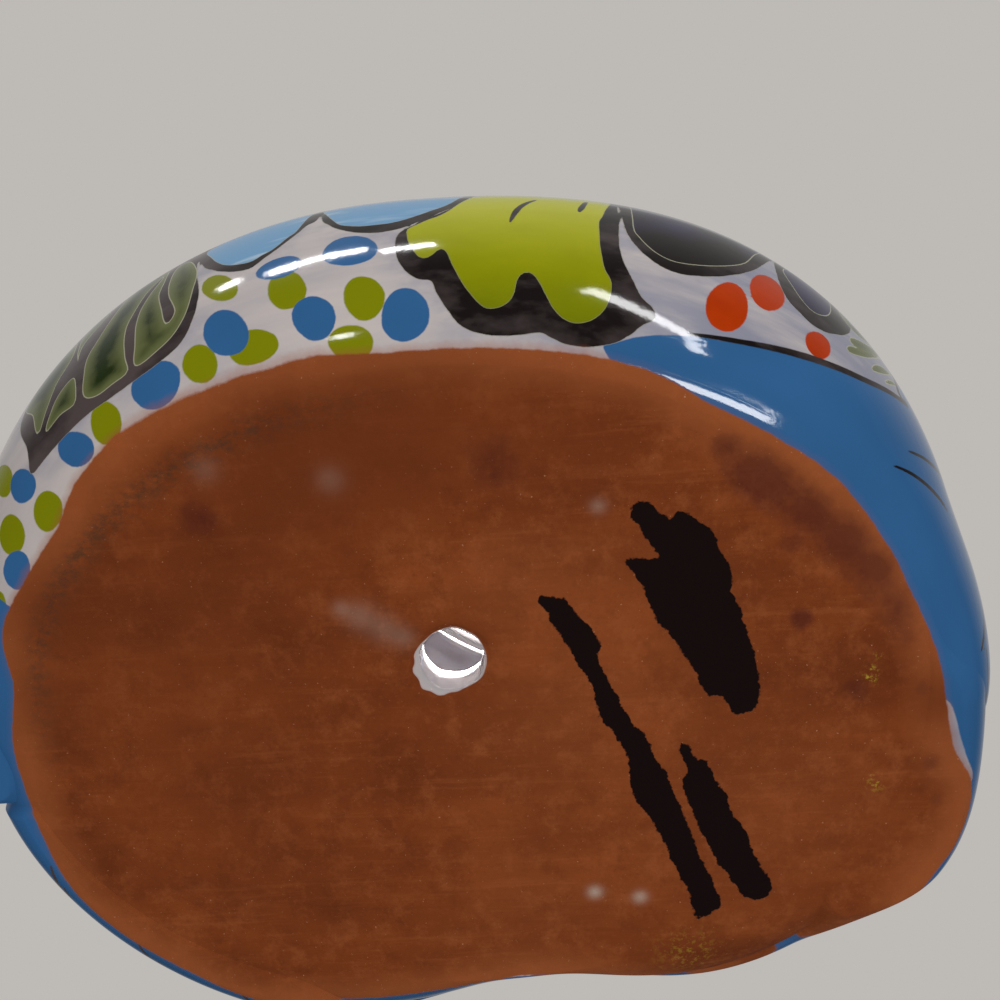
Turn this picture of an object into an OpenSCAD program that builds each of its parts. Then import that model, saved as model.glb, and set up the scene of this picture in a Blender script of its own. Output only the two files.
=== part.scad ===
// Cat planter: a hollow oval pot in the shape of a crouching cat, put together
// from separate clay pieces that are joined with slip.
// +Z is up, the pot rests on Z = 0, the cat looks along -Y and its left flank is +X.

/* [Base] */
// Length of the flat foot, front to back
foot_length = 201; // [190:1:210]
// Width of the flat foot, flank to flank
foot_width = 156; // [146:1:164]
// Thickness of the base slab
slab_thickness = 9; // [7:0.5:12]
// Width of the wall's own foot ring, outside the slab
foot_ring = 5; // [4:0.5:7]
// Diameter of the drain hole
drain_diameter = 15; // [8:0.5:20]
// Drain hole's distance from the mid-plane, towards the left flank
drain_offset = 11; // [11:0.5:20]

/* [Body] */
// Length of the body at its widest level
belly_length = 243; // [236:1:254]
// Width of the body at its widest level
belly_width = 211; // [204:1:220]
// Height of the widest level
belly_height = 48; // [42:1:56]
// Roundness of the turn from foot to belly: 2 is an ellipse, more is squarer
flank_roundness = 2.6; // [2.2:0.1:3.2]
// How much gentler that turn is where the right flank is tucked in below the tail
flank_tuck = 1.5; // [1:0.1:1.6]
// How much gentler it is along the left flank
flank_ease = 1.1; // [0.6:0.1:1.2]
// Height of the shoulder at the planting mouth
mouth_height = 120; // [112:1:130]
// Length of the planting mouth
mouth_length = 132; // [116:1:140]
// Width of the planting mouth
mouth_width = 112; // [96:1:124]
// Distance of the mouth's centre behind the middle of the foot
mouth_shift = 30; // [24:1:36]
// Wall thickness of the fired clay
wall = 8; // [6:0.5:10]

/* [Rim] */
// Height of the rolled rim above the shoulder
rim_height = 14; // [10:1:20]
// Width of the rim on the shoulder
rim_width = 11; // [9:0.5:14]

/* [Head] */
// Width of the head across the cheeks
head_width = 104; // [94:1:110]
// Depth of the head, brow to nape
head_depth = 88; // [80:1:92]
// Height of the head, chin to crown
head_height = 86; // [80:1:92]
// Distance between the nape and the planting rim
nape_gap = 12; // [8:1:16]
// How far the head sinks into the shoulder below its middle
head_sink = 4; // [2:0.5:7]
// Height of an ear above the head
ear_height = 38; // [28:1:44]
// Width of an ear at its root
ear_width = 42; // [34:1:46]
// Thickness of an ear at its root
ear_thickness = 22; // [16:1:26]
// How far the muzzle pad stands out from the face
muzzle_relief = 9; // [5:0.5:12]

/* [Legs and tail] */
// How far a front paw stands out from the chest
paw_relief = 12; // [8:0.5:15]
// How far a front leg stands out above its paw
leg_relief = 7; // [5:0.5:10]
// Width of a front leg, as an angle round the body
leg_spread = 11; // [10:0.5:12]
// How far the left hind foot stands out from the flank
hind_foot_relief = 0.3; // [0.2:0.1:1.5]
// How far the left hind leg stands out at the rump
rump_relief = 3.8; // [2.5:0.1:5]
// How far the right haunch stands out from the flank
haunch_relief = 5; // [4:0.5:8]
// How far the tail's root stands out
tail_root_relief = 9; // [7:0.5:12]
// How far the tail stands out along the right flank
tail_relief = 2.5; // [2:0.5:4]
// How far the tail's rounded end stands out
tail_end_relief = 2.8; // [2:0.1:4]

/* [Fit] */
// Slip joint left between two pieces that are luted together
slip_joint = 0.4; // [0.3:0.05:0.5]
// Thickness of a pad where it feathers out at its edge
feather = 1.2; // [0.8:0.1:2]

/* [Hidden] */
// Number of stations round the body and along a pad
body_steps = 84;
pad_steps = 22;
hind_steps = 32;
tail_steps = 52;
pad_rows = 9;
head_steps = 40;
head_rows = 11;
// How square the foot and the belly are in plan
foot_square = 2;
belly_square = 2.25;
// Angle at which the shoulder arc stops at the mouth
shoulder_angle = 67;
// Underside of the cavity, and the ledge that laps over the slab
floor_level = slab_thickness + slip_joint;
slab_ledge = 4;
// Half sizes of the head, its middle, and the direction from its seat to its crown
head_half = [head_width, head_depth, head_height] / 2;
head_forward = mouth_length / 2 - mouth_shift + rim_width + nape_gap + head_depth / 2;
head_level = skin_z(270, head_forward) - head_sink + head_height / 2;
head_middle = [0, -head_forward, head_level];
head_axis = [0, -0.55, 0.835];
// Half sizes of the muzzle pad
muzzle_half = [24, 16];
// Azimuths, in degrees round from the left flank, where the limbs begin and end
left_toe = 25;
left_rump = 94.3;
right_rump = 96;
right_knee = 138;
tail_root = 95;
front = 270;
leg_gap = 0.6;
tail_end = front - leg_gap - leg_spread - 0.8;
// Azimuths of the tucked and of the eased flank, and how far each spreads to its sides
tuck_middle = 172;
tuck_width = 24;
ease_middle = 6;
ease_width = 70;
// Heights of pads, as steps up the body's side: 0 foot, 1 belly, 2 mouth
hind_low = 0.16;
thigh_top = 1.36;
haunch_middle = 1.2;
haunch_rise = 0.28;
tail_low = 0.1;
tail_high = 0.66;
tail_lift = 0.4;
leg_low = 0.14;
leg_top = 1.2;

glaze_white = [0.9, 0.89, 0.88];
glaze_blue = [0.2, 0.47, 0.72];
terracotta = [0.56, 0.28, 0.15];

// Radius of a superellipse at azimuth a
function oval(a, half_x, half_y, square) =
    pow(pow(abs(cos(a)) / half_x, square) + pow(abs(sin(a)) / half_y, square), -1 / square);

function foot_r(a) = oval(a, foot_width / 2, foot_length / 2, foot_square);
function belly_r(a) = oval(a, belly_width / 2, belly_length / 2, belly_square);
function slab_r(a) = foot_r(a) - foot_ring;

// Radius of the mouth's ellipse, which sits behind the middle, seen from the middle
function mouth_r(a) =
    let (p = pow(2 * cos(a) / mouth_width, 2) + pow(2 * sin(a) / mouth_length, 2),
         q = 4 * mouth_shift * sin(a) / pow(mouth_length, 2),
         s = pow(2 * mouth_shift / mouth_length, 2) - 1)
    (q + sqrt(q * q - p * s)) / p;

// Roundness of the turn at an azimuth, less in the middle of both flanks
function turn_at(a) =
    flank_roundness
    - flank_tuck * swell(acos(cos(a - tuck_middle)), 0, tuck_width)
    - flank_ease * exp(-pow(acos(cos(a - ease_middle)) / ease_width, 4));

// A point [radius, height] on an upright section: m runs 0 to 1 from the low ring to the
// belly as a superellipse, and 1 to 2 from the belly to the mouth as an elliptic arc
function section(m, roundness, low_r, low_z, wide_r, top_r, top_z) =
    m <= 1
    ? [low_r + (wide_r - low_r) * pow(sin(90 * m), 2 / roundness),
       low_z + (belly_height - low_z) * (1 - pow(cos(90 * m), 2 / roundness))]
    : let (t = (m - 1) * shoulder_angle)
      [wide_r - (wide_r - top_r) * (1 - cos(t)) / (1 - cos(shoulder_angle)),
       belly_height + (top_z - belly_height) * sin(t) / sin(shoulder_angle)];

function outer(a, m) = section(m, turn_at(a), foot_r(a), 0, belly_r(a), mouth_r(a), mouth_height);
function inner(a, m) =
    section(m, turn_at(a), slab_r(a) - slab_ledge, floor_level,
            belly_r(a) - wall, mouth_r(a), mouth_height - wall);

// Outward direction of the outer section at m
function outward(a, m) =
    let (p = outer(a, max(m - 0.01, 0)), q = outer(a, min(m + 0.01, 2)), t = (q - p) / norm(q - p))
    [t.y, -t.x];

function turn(a, p) = [p.x * cos(a), p.x * sin(a), p.y];

// A point a distance off the body's skin, kept above the resting plane
function off_skin(a, m, distance) =
    let (p = outer(a, m) + distance * outward(a, m))
    turn(a, [p.x, max(p.y, 0)]);

// Radius of the body's skin at a height, from the section's own arcs
function skin_r(a, z) =
    z <= belly_height
    ? foot_r(a) + (belly_r(a) - foot_r(a))
      * pow(1 - pow(1 - max(z, 0) / belly_height, turn_at(a)), 1 / turn_at(a))
    : let (t = asin(min(1, (z - belly_height) / (mouth_height - belly_height)) * sin(shoulder_angle)))
      belly_r(a) - (belly_r(a) - mouth_r(a)) * (1 - cos(t)) / (1 - cos(shoulder_angle));

// Height of the shoulder at a radius
function skin_z(a, r) =
    let (s = max(belly_r(a) - r, 0) / (belly_r(a) - mouth_r(a)),
         t = acos(1 - s * (1 - cos(shoulder_angle))))
    belly_height + (mouth_height - belly_height) * sin(t) / sin(shoulder_angle);

function in_body(p) =
    p.z < mouth_height + slip_joint
    && norm([p.x, p.y]) < skin_r(atan2(p.y, p.x), p.z) + 1.5 * slip_joint;

function unit(v) = v / norm(v);
function blend(t) = let (s = min(max(t, 0), 1)) s * s * (3 - 2 * s);
// A bell-shaped swelling about a middle
function swell(t, middle, width) = exp(-pow((t - middle) / width, 2));
function dome(t) = sqrt(max(0, 1 - pow(2 * t - 1, 2)));
function average(ring) = [for (p = ring) 1 / len(ring)] * ring;

// Skin over a row of rings: closed rows join the last ring to the first, open rows are capped
module loft(rings, closed = false) {
    count = len(rings);
    size = len(rings[0]);
    corners = [for (ring = rings) each ring];
    sides = [for (i = [0 : closed ? count - 1 : count - 2], j = [0 : size - 1])
             let (p = i * size + j,
                  q = i * size + (j + 1) % size,
                  r = ((i + 1) % count) * size + j,
                  s = ((i + 1) % count) * size + (j + 1) % size)
             each [[p, r, q], [q, r, s]]];
    first_cap = [for (j = [0 : size - 1]) [count * size, j, (j + 1) % size]];
    last_cap = [for (j = [0 : size - 1])
                [count * size + 1, (count - 1) * size + (j + 1) % size, (count - 1) * size + j]];
    polyhedron(
        points = closed ? corners : concat(corners, [average(rings[0]), average(rings[count - 1])]),
        faces = closed ? sides : concat(sides, first_cap, last_cap));
}

// A relief pad that lies on the body's skin between two azimuths. low(u) and high(u) bound it
// up the section and relief(u, v) is its height, with u and v running 0 to 1 along and up it
module pad(from, to, low, high, relief, steps = pad_steps) {
    loft([for (i = [0 : steps])
          let (u = i / steps, a = from + (to - from) * u)
          concat(
              [for (j = [0 : pad_rows])
               off_skin(a, low(u) + (high(u) - low(u)) * j / pad_rows, slip_joint)],
              [for (j = [pad_rows : -1 : 0])
               off_skin(a, low(u) + (high(u) - low(u)) * j / pad_rows,
                        slip_joint + feather + relief(u, j / pad_rows))])]);
}

// Distance from the head's middle to its skin along a direction
function head_r(w) = 1 / norm([w.x / head_half.x, w.y / head_half.y, w.z / head_half.z]);

// Direction at a polar angle from the head's axis, at a turn round it
function head_way(polar, round) =
    let (side = [1, 0, 0], fore = cross(unit(head_axis), side))
    cos(polar) * unit(head_axis) + sin(polar) * (cos(round) * side + sin(round) * fore);

function head_point(w, depth) = head_middle + w * (head_r(w) - depth);

// Polar angle at which the head's skin, or its inside, meets the body, found by halving
function seat_angle(round, depth, low = 40, high = 176, turns = 14) =
    turns == 0 ? low
    : let (half = (low + high) / 2)
      in_body(head_point(head_way(half, round), depth))
      ? seat_angle(round, depth, low, half, turns - 1)
      : seat_angle(round, depth, half, high, turns - 1);

// A ring on the head about a direction, scaled s of the patch's half sizes and lifted off the skin
function head_patch(way, across, half_size, s, lift) =
    let (w0 = unit(way), e1 = unit(across - (across * w0) * w0), e2 = cross(w0, e1))
    [for (k = [0 : head_steps / 2 - 1])
     let (t = 720 * k / head_steps,
          w = unit(w0 * head_r(w0) + s * (half_size.x * cos(t) * e1 + half_size.y * sin(t) * e2)))
     head_point(w, -slip_joint - lift)];

module base_slab() {
    color(terracotta)
    difference() {
        linear_extrude(slab_thickness)
            polygon([for (i = [0 : body_steps - 1])
                     let (a = 360 * i / body_steps) slab_r(a) * [cos(a), sin(a)]]);
        translate([drain_offset, 0, -1])
            cylinder(d = drain_diameter, h = slab_thickness + 2, $fn = 48);
    }
}

module body_wall() {
    outer_rows = [0, 0.1, 0.2, 0.3, 0.42, 0.55, 0.68, 0.84, 1, 1.15, 1.3, 1.45, 1.6, 1.74, 1.88, 2];
    inner_rows = [2, 1.8, 1.55, 1.3, 1, 0.75, 0.5, 0.25, 0];
    color(glaze_white)
    loft(closed = true, rings = [
        for (i = [0 : body_steps - 1])
        let (a = 360 * i / body_steps)
        concat(
            [for (m = outer_rows) turn(a, outer(a, m))],
            [for (m = inner_rows) turn(a, inner(a, m))],
            [turn(a, [slab_r(a) + slip_joint, floor_level]),
             turn(a, [slab_r(a) + slip_joint, 0])])]);
}

module planting_rim() {
    // Rolled profile above the shoulder: fractions of the rim's width and height
    profile = [[1, 0.12], [0.93, 0.42], [1.02, 0.68], [1.0, 0.86], [0.78, 0.98], [0.45, 1],
               [0.16, 0.95], [0, 0.8], [0, 0.4]];
    color(glaze_blue)
    loft(closed = true, rings = [
        for (i = [0 : body_steps - 1])
        let (a = 360 * i / body_steps,
             seat = [for (k = [0 : 3])
                     let (r = mouth_r(a) + rim_width * k / 3)
                     [r, skin_z(a, r) + slip_joint]])
        concat(
            [for (p = seat) turn(a, p)],
            [for (p = profile)
             let (foot = seat[0].y + (seat[3].y - seat[0].y) * min(p.x, 1))
             turn(a, [mouth_r(a) + rim_width * p.x,
                      foot + (mouth_height + rim_height - foot) * p.y])])]);
}

module head() {
    color(glaze_blue)
    loft([for (row = [0 : 2 * head_rows + 1])
          let (inside = row > head_rows,
               depth = inside ? wall : 0,
               step = inside ? 2 * head_rows + 1 - row : row)
          [for (k = [0 : head_steps - 1])
           let (round = 360 * k / head_steps,
                last = seat_angle(round, depth))
           head_point(head_way(4 + (last - 4) * step / head_rows, round), depth)]]);
}

module muzzle() {
    way = [0, -0.93, -0.36];
    color(glaze_white)
    loft([for (row = [0 : 8])
          row <= 3
          ? head_patch(way, [1, 0, 0], muzzle_half, 0.1 + 0.3 * row, 0)
          : let (s = (9 - row) / 5.2)
            head_patch(way, [1, 0, 0], muzzle_half, s, 0.8 + muzzle_relief * sqrt(1 - s * s))]);
}

module ear(side) {
    way = [side * 0.62, 0.02, 0.78];
    across = [0.78, 0, -side * 0.62];
    root = head_patch(way, across, [ear_width / 2, ear_thickness / 2], 1, 0);
    middle = average(root);
    tip = middle + ear_height * unit([side * 0.36, 0.05, 0.93]);
    loft(concat(
        [for (s = [0.1, 0.4, 0.7])
         head_patch(way, across, [ear_width / 2, ear_thickness / 2], s, 0)],
        [for (k = [0 : 6])
         let (t = k / 6, shrink = 1 - 0.88 * pow(t, 1.2))
         [for (p = root) middle + (tip - middle) * t + (p - middle) * shrink]]));
}

module left_ear() {
    color(glaze_blue) ear(1);
}

module right_ear() {
    color(glaze_blue) ear(-1);
}

// A front leg beside the mid-plane: a wide paw below, a narrower leg up the chest
module front_leg(side) {
    pad(front + side * leg_gap, front + side * (leg_gap + leg_spread),
        function(u) leg_low + 0.1 * pow(2 * u - 1, 2),
        function(u) leg_top - 0.35 * pow(2 * u - 1, 2),
        function(u, v) dome(u) * dome(v)
                       * (leg_relief + (paw_relief - leg_relief) * (1 - blend((v - 0.3) / 0.25))));
}

module left_front_leg() {
    color(glaze_blue) front_leg(1);
}

module right_front_leg() {
    color(glaze_blue) front_leg(-1);
}

// The left hind leg: a low foot that points forward along the base, and a thigh that swells
// to a blunt rump
module left_hind_leg() {
    color(glaze_blue)
    pad(left_toe, left_rump,
        function(u) hind_low,
        function(u) hind_low + 0.08 + 0.34 * u + (thigh_top - hind_low - 0.42)
                    * blend((u - 0.6) / 0.26) * (1 - 0.4 * blend((u - 0.86) / 0.14)),
        function(u, v) dome(v) * dome(0.01 + 0.49 * min(4 * u, 1))
                       * (hind_foot_relief
                          + (rump_relief - hind_foot_relief) * blend((u - 0.68) / 0.32))
                       * (1 - 0.35 * swell(u, 0.66, 0.18) * blend((v - 0.1) / 0.5)),
        hind_steps);
}

// The right haunch, above the tail
module right_haunch() {
    color(glaze_blue)
    pad(right_rump, right_knee,
        function(u) haunch_middle - haunch_rise * dome(0.02 + 0.96 * u),
        function(u) haunch_middle + haunch_rise * dome(0.02 + 0.96 * u),
        function(u, v) haunch_relief * dome(0.02 + 0.96 * u) * dome(v));
}

// 1 where the tail is carried up the tucked flank, 0 towards both its ends
function carried(u) = blend((u - 0.16) / 0.1) * (1 - blend((u - 0.58) / 0.14));

// The tail: a thick root behind, along the right flank, to a rounded end beside the front paws
module tail() {
    color(glaze_blue)
    pad(tail_root, tail_end,
        function(u) tail_low + tail_lift * carried(u),
        function(u) tail_high + 0.16 * swell(u, 0.1, 0.16) + 0.2 * carried(u) - 0.2 * pow(u, 6),
        function(u, v) dome(v) * pow(dome(0.5 + 0.49 * u), 0.5)
                       * (tail_relief
                          + (tail_root_relief - tail_relief) * swell(u, 0.13, u < 0.13 ? 0.09 : 0.055)
                          + (tail_end_relief - tail_relief) * swell(u, 0.8, 0.15)),
        tail_steps);
}

base_slab();
body_wall();
planting_rim();
head();
muzzle();
left_ear();
right_ear();
left_front_leg();
right_front_leg();
left_hind_leg();
right_haunch();
tail();
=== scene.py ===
"""Looks of a hollow glazed earthenware cat planter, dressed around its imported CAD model.

Shapes are worked out in millimetres in the part's frame: +Z up, the cat faces -Y and its left
flank is +X. The pot's skin is a function of an azimuth and of m, which climbs the upright section:
-1 at the floor's seam, 0 at the foot, 1 at the belly and 2 at the planting mouth. Painting is
kept as distances in millimetres on the vertices, negative inside a painted mark, and the glaze
material turns each distance into a brushed edge.
"""

import logging
import math
from dataclasses import dataclass
from enum import Enum
from functools import cached_property
from typing import Sequence, TypeAlias

import bpy
import numpy as np
from mathutils import Matrix


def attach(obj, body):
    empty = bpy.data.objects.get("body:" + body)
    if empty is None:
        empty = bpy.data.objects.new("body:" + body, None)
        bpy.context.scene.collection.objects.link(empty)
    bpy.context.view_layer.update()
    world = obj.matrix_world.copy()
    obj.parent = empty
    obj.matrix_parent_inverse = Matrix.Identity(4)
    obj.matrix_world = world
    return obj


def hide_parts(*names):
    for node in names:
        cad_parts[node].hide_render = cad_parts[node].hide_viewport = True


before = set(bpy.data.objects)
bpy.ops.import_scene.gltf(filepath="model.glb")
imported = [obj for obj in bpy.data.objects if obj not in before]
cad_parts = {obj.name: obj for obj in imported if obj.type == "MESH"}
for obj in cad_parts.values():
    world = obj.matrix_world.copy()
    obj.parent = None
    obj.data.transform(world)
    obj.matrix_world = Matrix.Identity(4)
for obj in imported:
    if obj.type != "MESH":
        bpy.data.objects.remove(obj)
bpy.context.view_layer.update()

LOG = logging.getLogger("cat_planter")
MM = 0.001
FAR = 20.0
Array = np.ndarray
Pixel = tuple[float, float]
SkinSpot = tuple[float, float]
Dots = tuple[Sequence, float]
DOT_WAVER = 0.07


class Slot(Enum):
    """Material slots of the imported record."""

    CLAY = "terracotta"
    WHITE = "white_glaze"
    BLUE = "blue_glaze"


class Field(Enum):
    """Painted layers that are kept on a piece's vertices, three distances to a vector."""

    DOTS = "dots"
    MOTIF = "motif"
    FILLS = "fills"
    COAT = "coat"
    INK = "ink"
    BASE = "base"
    GRIME = "grime"


def linear(red: int, green: int, blue: int) -> tuple[float, float, float, float]:
    """Linear colour of a display colour given in 0 to 255.

    Args:
        red: Red as seen on a screen.
        green: Green as seen on a screen.
        blue: Blue as seen on a screen.

    Returns:
        The linear colour with full alpha.
    """
    parts = np.array([red, green, blue]) / 255.0
    low, high = parts / 12.92, ((parts + 0.055) / 1.055) ** 2.4
    return (*np.where(parts <= 0.04045, low, high).tolist(), 1.0)


def blend(t: Array) -> Array:
    """Smooth step from 0 to 1 over t from 0 to 1."""
    s = np.clip(t, 0.0, 1.0)
    return s * s * (3.0 - 2.0 * s)


def swell(t: Array, middle: float, width: float) -> Array:
    """Bell-shaped swelling exp(-((t - middle) / width)^2)."""
    return np.exp(-(((t - middle) / width) ** 2))


def dome(t: Array, power: Array | float = 0.5) -> Array:
    """Arch over t from 0 to 1, which is (1 - (2t - 1)^2) to a power."""
    return np.clip(1.0 - (2.0 * t - 1.0) ** 2, 0.0, 1.0) ** power


def unit(v: Array) -> Array:
    """Vectors scaled to length 1 along the last axis."""
    return v / np.linalg.norm(v, axis=-1, keepdims=True)


def vectors(*parts: Sequence) -> Array:
    """Parts side by side along a new last axis."""
    return np.stack(parts, axis=-1)


def circle(count: int) -> Array:
    """Even angles once round."""
    return np.linspace(0.0, 2.0 * math.pi, count, endpoint=False)


def around(r: Array, a: Array, z: Array) -> Array:
    """Points of radii, azimuths and heights."""
    return vectors(r * np.cos(a), r * np.sin(a), z)


def turn_from(a: Array, middle: float) -> Array:
    """Degrees from a middle to azimuths in radians, between -180 and 180."""
    return (np.degrees(a) - middle + 180.0) % 360.0 - 180.0


def set_up(thing: bpy.types.Object, axes: Array, place: Array) -> None:
    """Turns a camera or a lamp, puts it in its place and links it to the scene.

    Args:
        thing: The camera or lamp.
        axes: Its axes in the columns.
        place: Its place in metres.
    """
    matrix = np.eye(4)
    matrix[:3, :3], matrix[:3, 3] = axes, place
    thing.matrix_world = Matrix(matrix.tolist())
    bpy.context.scene.collection.objects.link(thing)


def oval(a: Array, half_x: float, half_y: float, square: float) -> Array:
    """Polar radius of a superellipse, ((|cos a| / hx)^n + (|sin a| / hy)^n)^(-1/n).

    Args:
        a: Azimuths in radians.
        half_x: Half size across the cat.
        half_y: Half size along the cat.
        square: Exponent n, 2 for an ellipse and more for a squarer oval.

    Returns:
        Radii in millimetres.
    """
    across = (np.abs(np.cos(a)) / half_x) ** square
    along = (np.abs(np.sin(a)) / half_y) ** square
    return (across + along) ** (-1.0 / square)


@dataclass(frozen=True)
class Limb:
    """A relief that lies on the pot between two azimuths, in degrees."""

    name: str
    node: str
    start: float
    stop: float

    def low(self, u: Array) -> Array:
        """Lower bound up the section, at u along the limb."""
        raise NotImplementedError

    def high(self, u: Array) -> Array:
        """Upper bound up the section, at u along the limb."""
        raise NotImplementedError

    def relief(self, u: Array, v: Array) -> Array:
        """Height over the pot's skin, with u along the limb and v up it."""
        raise NotImplementedError

    def local(self, a: Array, m: Array) -> tuple[Array, Array]:
        """Place on the limb of a place on the pot.

        Args:
            a: Azimuths in radians.
            m: Places up the section.

        Returns:
            u along the limb and v up it, 0 to 1 inside.
        """
        u = turn_from(a, self.start) / (self.stop - self.start)
        inside = np.clip(u, 0.0, 1.0)
        low, high = self.low(inside), self.high(inside)
        return u, (m - low) / (high - low)

    def lift(self, a: Array, m: Array) -> Array:
        """Relief at places on the pot, 0 outside the limb."""
        u, v = self.local(a, m)
        inside = (u > 0.0) & (u < 1.0) & (v > 0.0) & (v < 1.0)
        return np.where(inside, self.relief(np.clip(u, 0, 1), np.clip(v, 0, 1)), 0.0)

    def spot(self, u: Array, v: Array) -> tuple[Array, Array]:
        """Azimuth and section place of a place on the limb."""
        inside = np.clip(u, 0.0, 1.0)
        low, high = self.low(inside), self.high(inside)
        return np.radians(self.start + (self.stop - self.start) * u), low + (high - low) * v


@dataclass(frozen=True)
class FrontLeg(Limb):
    """A front leg beside the mid-plane: a wide paw below and a narrower leg up the chest."""

    leg_rise: float = 8.4
    paw_rise: float = 13.0
    toe_groove: float = 0.16

    def low(self, u: Array) -> Array:
        """0.14 at the middle, rising to the sides."""
        return 0.14 + 0.1 * (2.0 * u - 1.0) ** 2

    def high(self, u: Array) -> Array:
        """1.2 at the middle, falling to the sides."""
        return 1.2 - 0.35 * (2.0 * u - 1.0) ** 2

    def relief(self, u: Array, v: Array) -> Array:
        """Arched both ways, with two grooves between three toes on the paw.

        Args:
            u: Places along the limb, 0 to 1.
            v: Places up it, 0 to 1.

        Returns:
            Heights in millimetres.
        """
        paw = 1.0 - blend((v - 0.3) / 0.25)
        grooves = swell(u, 0.35, 0.05) + swell(u, 0.65, 0.05)
        toes = 1.0 - self.toe_groove * grooves * (1.0 - blend((v - 0.12) / 0.22))
        return dome(u, 0.6) * dome(v, 0.6) * (self.leg_rise + (self.paw_rise - self.leg_rise) * paw) * toes


@dataclass(frozen=True)
class HindLeg(Limb):
    """The left hind leg: a foot that points forward along the base and a thigh over it."""

    foot_rise: float = 0.35
    rump_rise: float = 5.4
    rump_end: float = 0.8237

    def along(self, u: Array) -> Array:
        """Share of the way to the rump's end, which the limb runs past."""
        return np.clip(np.asarray(u, float) / self.rump_end, 0.0, 1.0)

    def low(self, u: Array) -> Array:
        """A level line just over the foot of the pot."""
        return np.full_like(np.asarray(u, float), 0.16)

    def high(self, u: Array) -> Array:
        """A low foot that steps up to the thigh past its middle."""
        w = self.along(u)
        step = blend((w - 0.6) / 0.26) * (1.0 - 0.4 * blend((w - 0.86) / 0.14))
        return 0.27 + 0.36 * w + 0.86 * step

    def relief(self, u: Array, v: Array) -> Array:
        """A soft-edged arch, flat along the foot, swelling to the rump and dying out past it.

        Args:
            u: Places along the limb, 0 to 1.
            v: Places up it, 0 to 1.

        Returns:
            Heights in millimetres.
        """
        w = self.along(u)
        rise = self.foot_rise + (self.rump_rise - self.foot_rise) * blend((w - 0.68) / 0.32)
        thigh = 1.0 - 0.35 * swell(w, 0.66, 0.18) * blend((v - 0.1) / 0.5)
        toe = blend(w / 0.3)
        full = blend((w - 0.55) / 0.35)
        below = (1.0 - full) * blend(v / 0.5) + full * dome(np.minimum(v, 0.45) / 0.9, 0.7)
        above = blend((1.0 - v) / (0.5 + 0.08 * full))
        past = 1.0 - blend((np.asarray(u, float) - self.rump_end) / (1.0 - self.rump_end))
        return np.minimum(below, above) * toe * rise * thigh * past


@dataclass(frozen=True)
class Haunch(Limb):
    """The right haunch, an oval thigh over the tail."""

    rise: float = 6.4

    def low(self, u: Array) -> Array:
        """Lower half of the oval."""
        return 1.2 - 0.28 * dome(0.02 + 0.96 * u)

    def high(self, u: Array) -> Array:
        """Upper half of the oval."""
        return 1.2 + 0.28 * dome(0.02 + 0.96 * u)

    def relief(self, u: Array, v: Array) -> Array:
        """Arched both ways."""
        return self.rise * dome(0.02 + 0.96 * u, 0.7) * dome(v, 0.7)


@dataclass(frozen=True)
class Tail(Limb):
    """The tail: a thick root behind, along the right flank, to a rounded end by the paws."""

    plain_rise: float = 4.1
    root_rise: float = 6.5
    end_rise: float = 0.3
    raised: float = 0.4
    lead: float = 0.0712

    def along(self, u: Array) -> Array:
        """Share of the way from the root, which the limb starts before."""
        return np.clip((np.asarray(u, float) - self.lead) / (1.0 - self.lead), 0.0, 1.0)

    @staticmethod
    def carried(w: Array) -> Array:
        """1 where the tail is carried up the flank and 0 at both ends."""
        return blend((w - 0.16) / 0.1) * (1.0 - blend((w - 0.58) / 0.14))

    def low(self, u: Array) -> Array:
        """Near the ground at both ends and lifted along the flank."""
        return 0.1 + self.raised * self.carried(self.along(u))

    def high(self, u: Array) -> Array:
        """Tall at the root, lifted along the flank and falling to the end."""
        w = self.along(u)
        return 0.66 + 0.16 * swell(w, 0.1, 0.16) + 0.2 * self.carried(w) - 0.2 * w**6

    def relief(self, u: Array, v: Array) -> Array:
        """Round across, rising out of the rump, with a swollen root and a tapered end.

        Args:
            u: Places along the limb, 0 to 1.
            v: Places up it, 0 to 1.

        Returns:
            Heights in millimetres.
        """
        w = self.along(u)
        root = np.where(w < 0.13, swell(w, 0.13, 0.09), swell(w, 0.13, 0.055))
        rise = self.plain_rise + self.root_rise * root + self.end_rise * swell(w, 0.8, 0.15)
        return dome(v, 0.55) * dome(0.5 + 0.49 * w, 0.25) * rise * blend(np.asarray(u, float) / self.lead)


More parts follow.
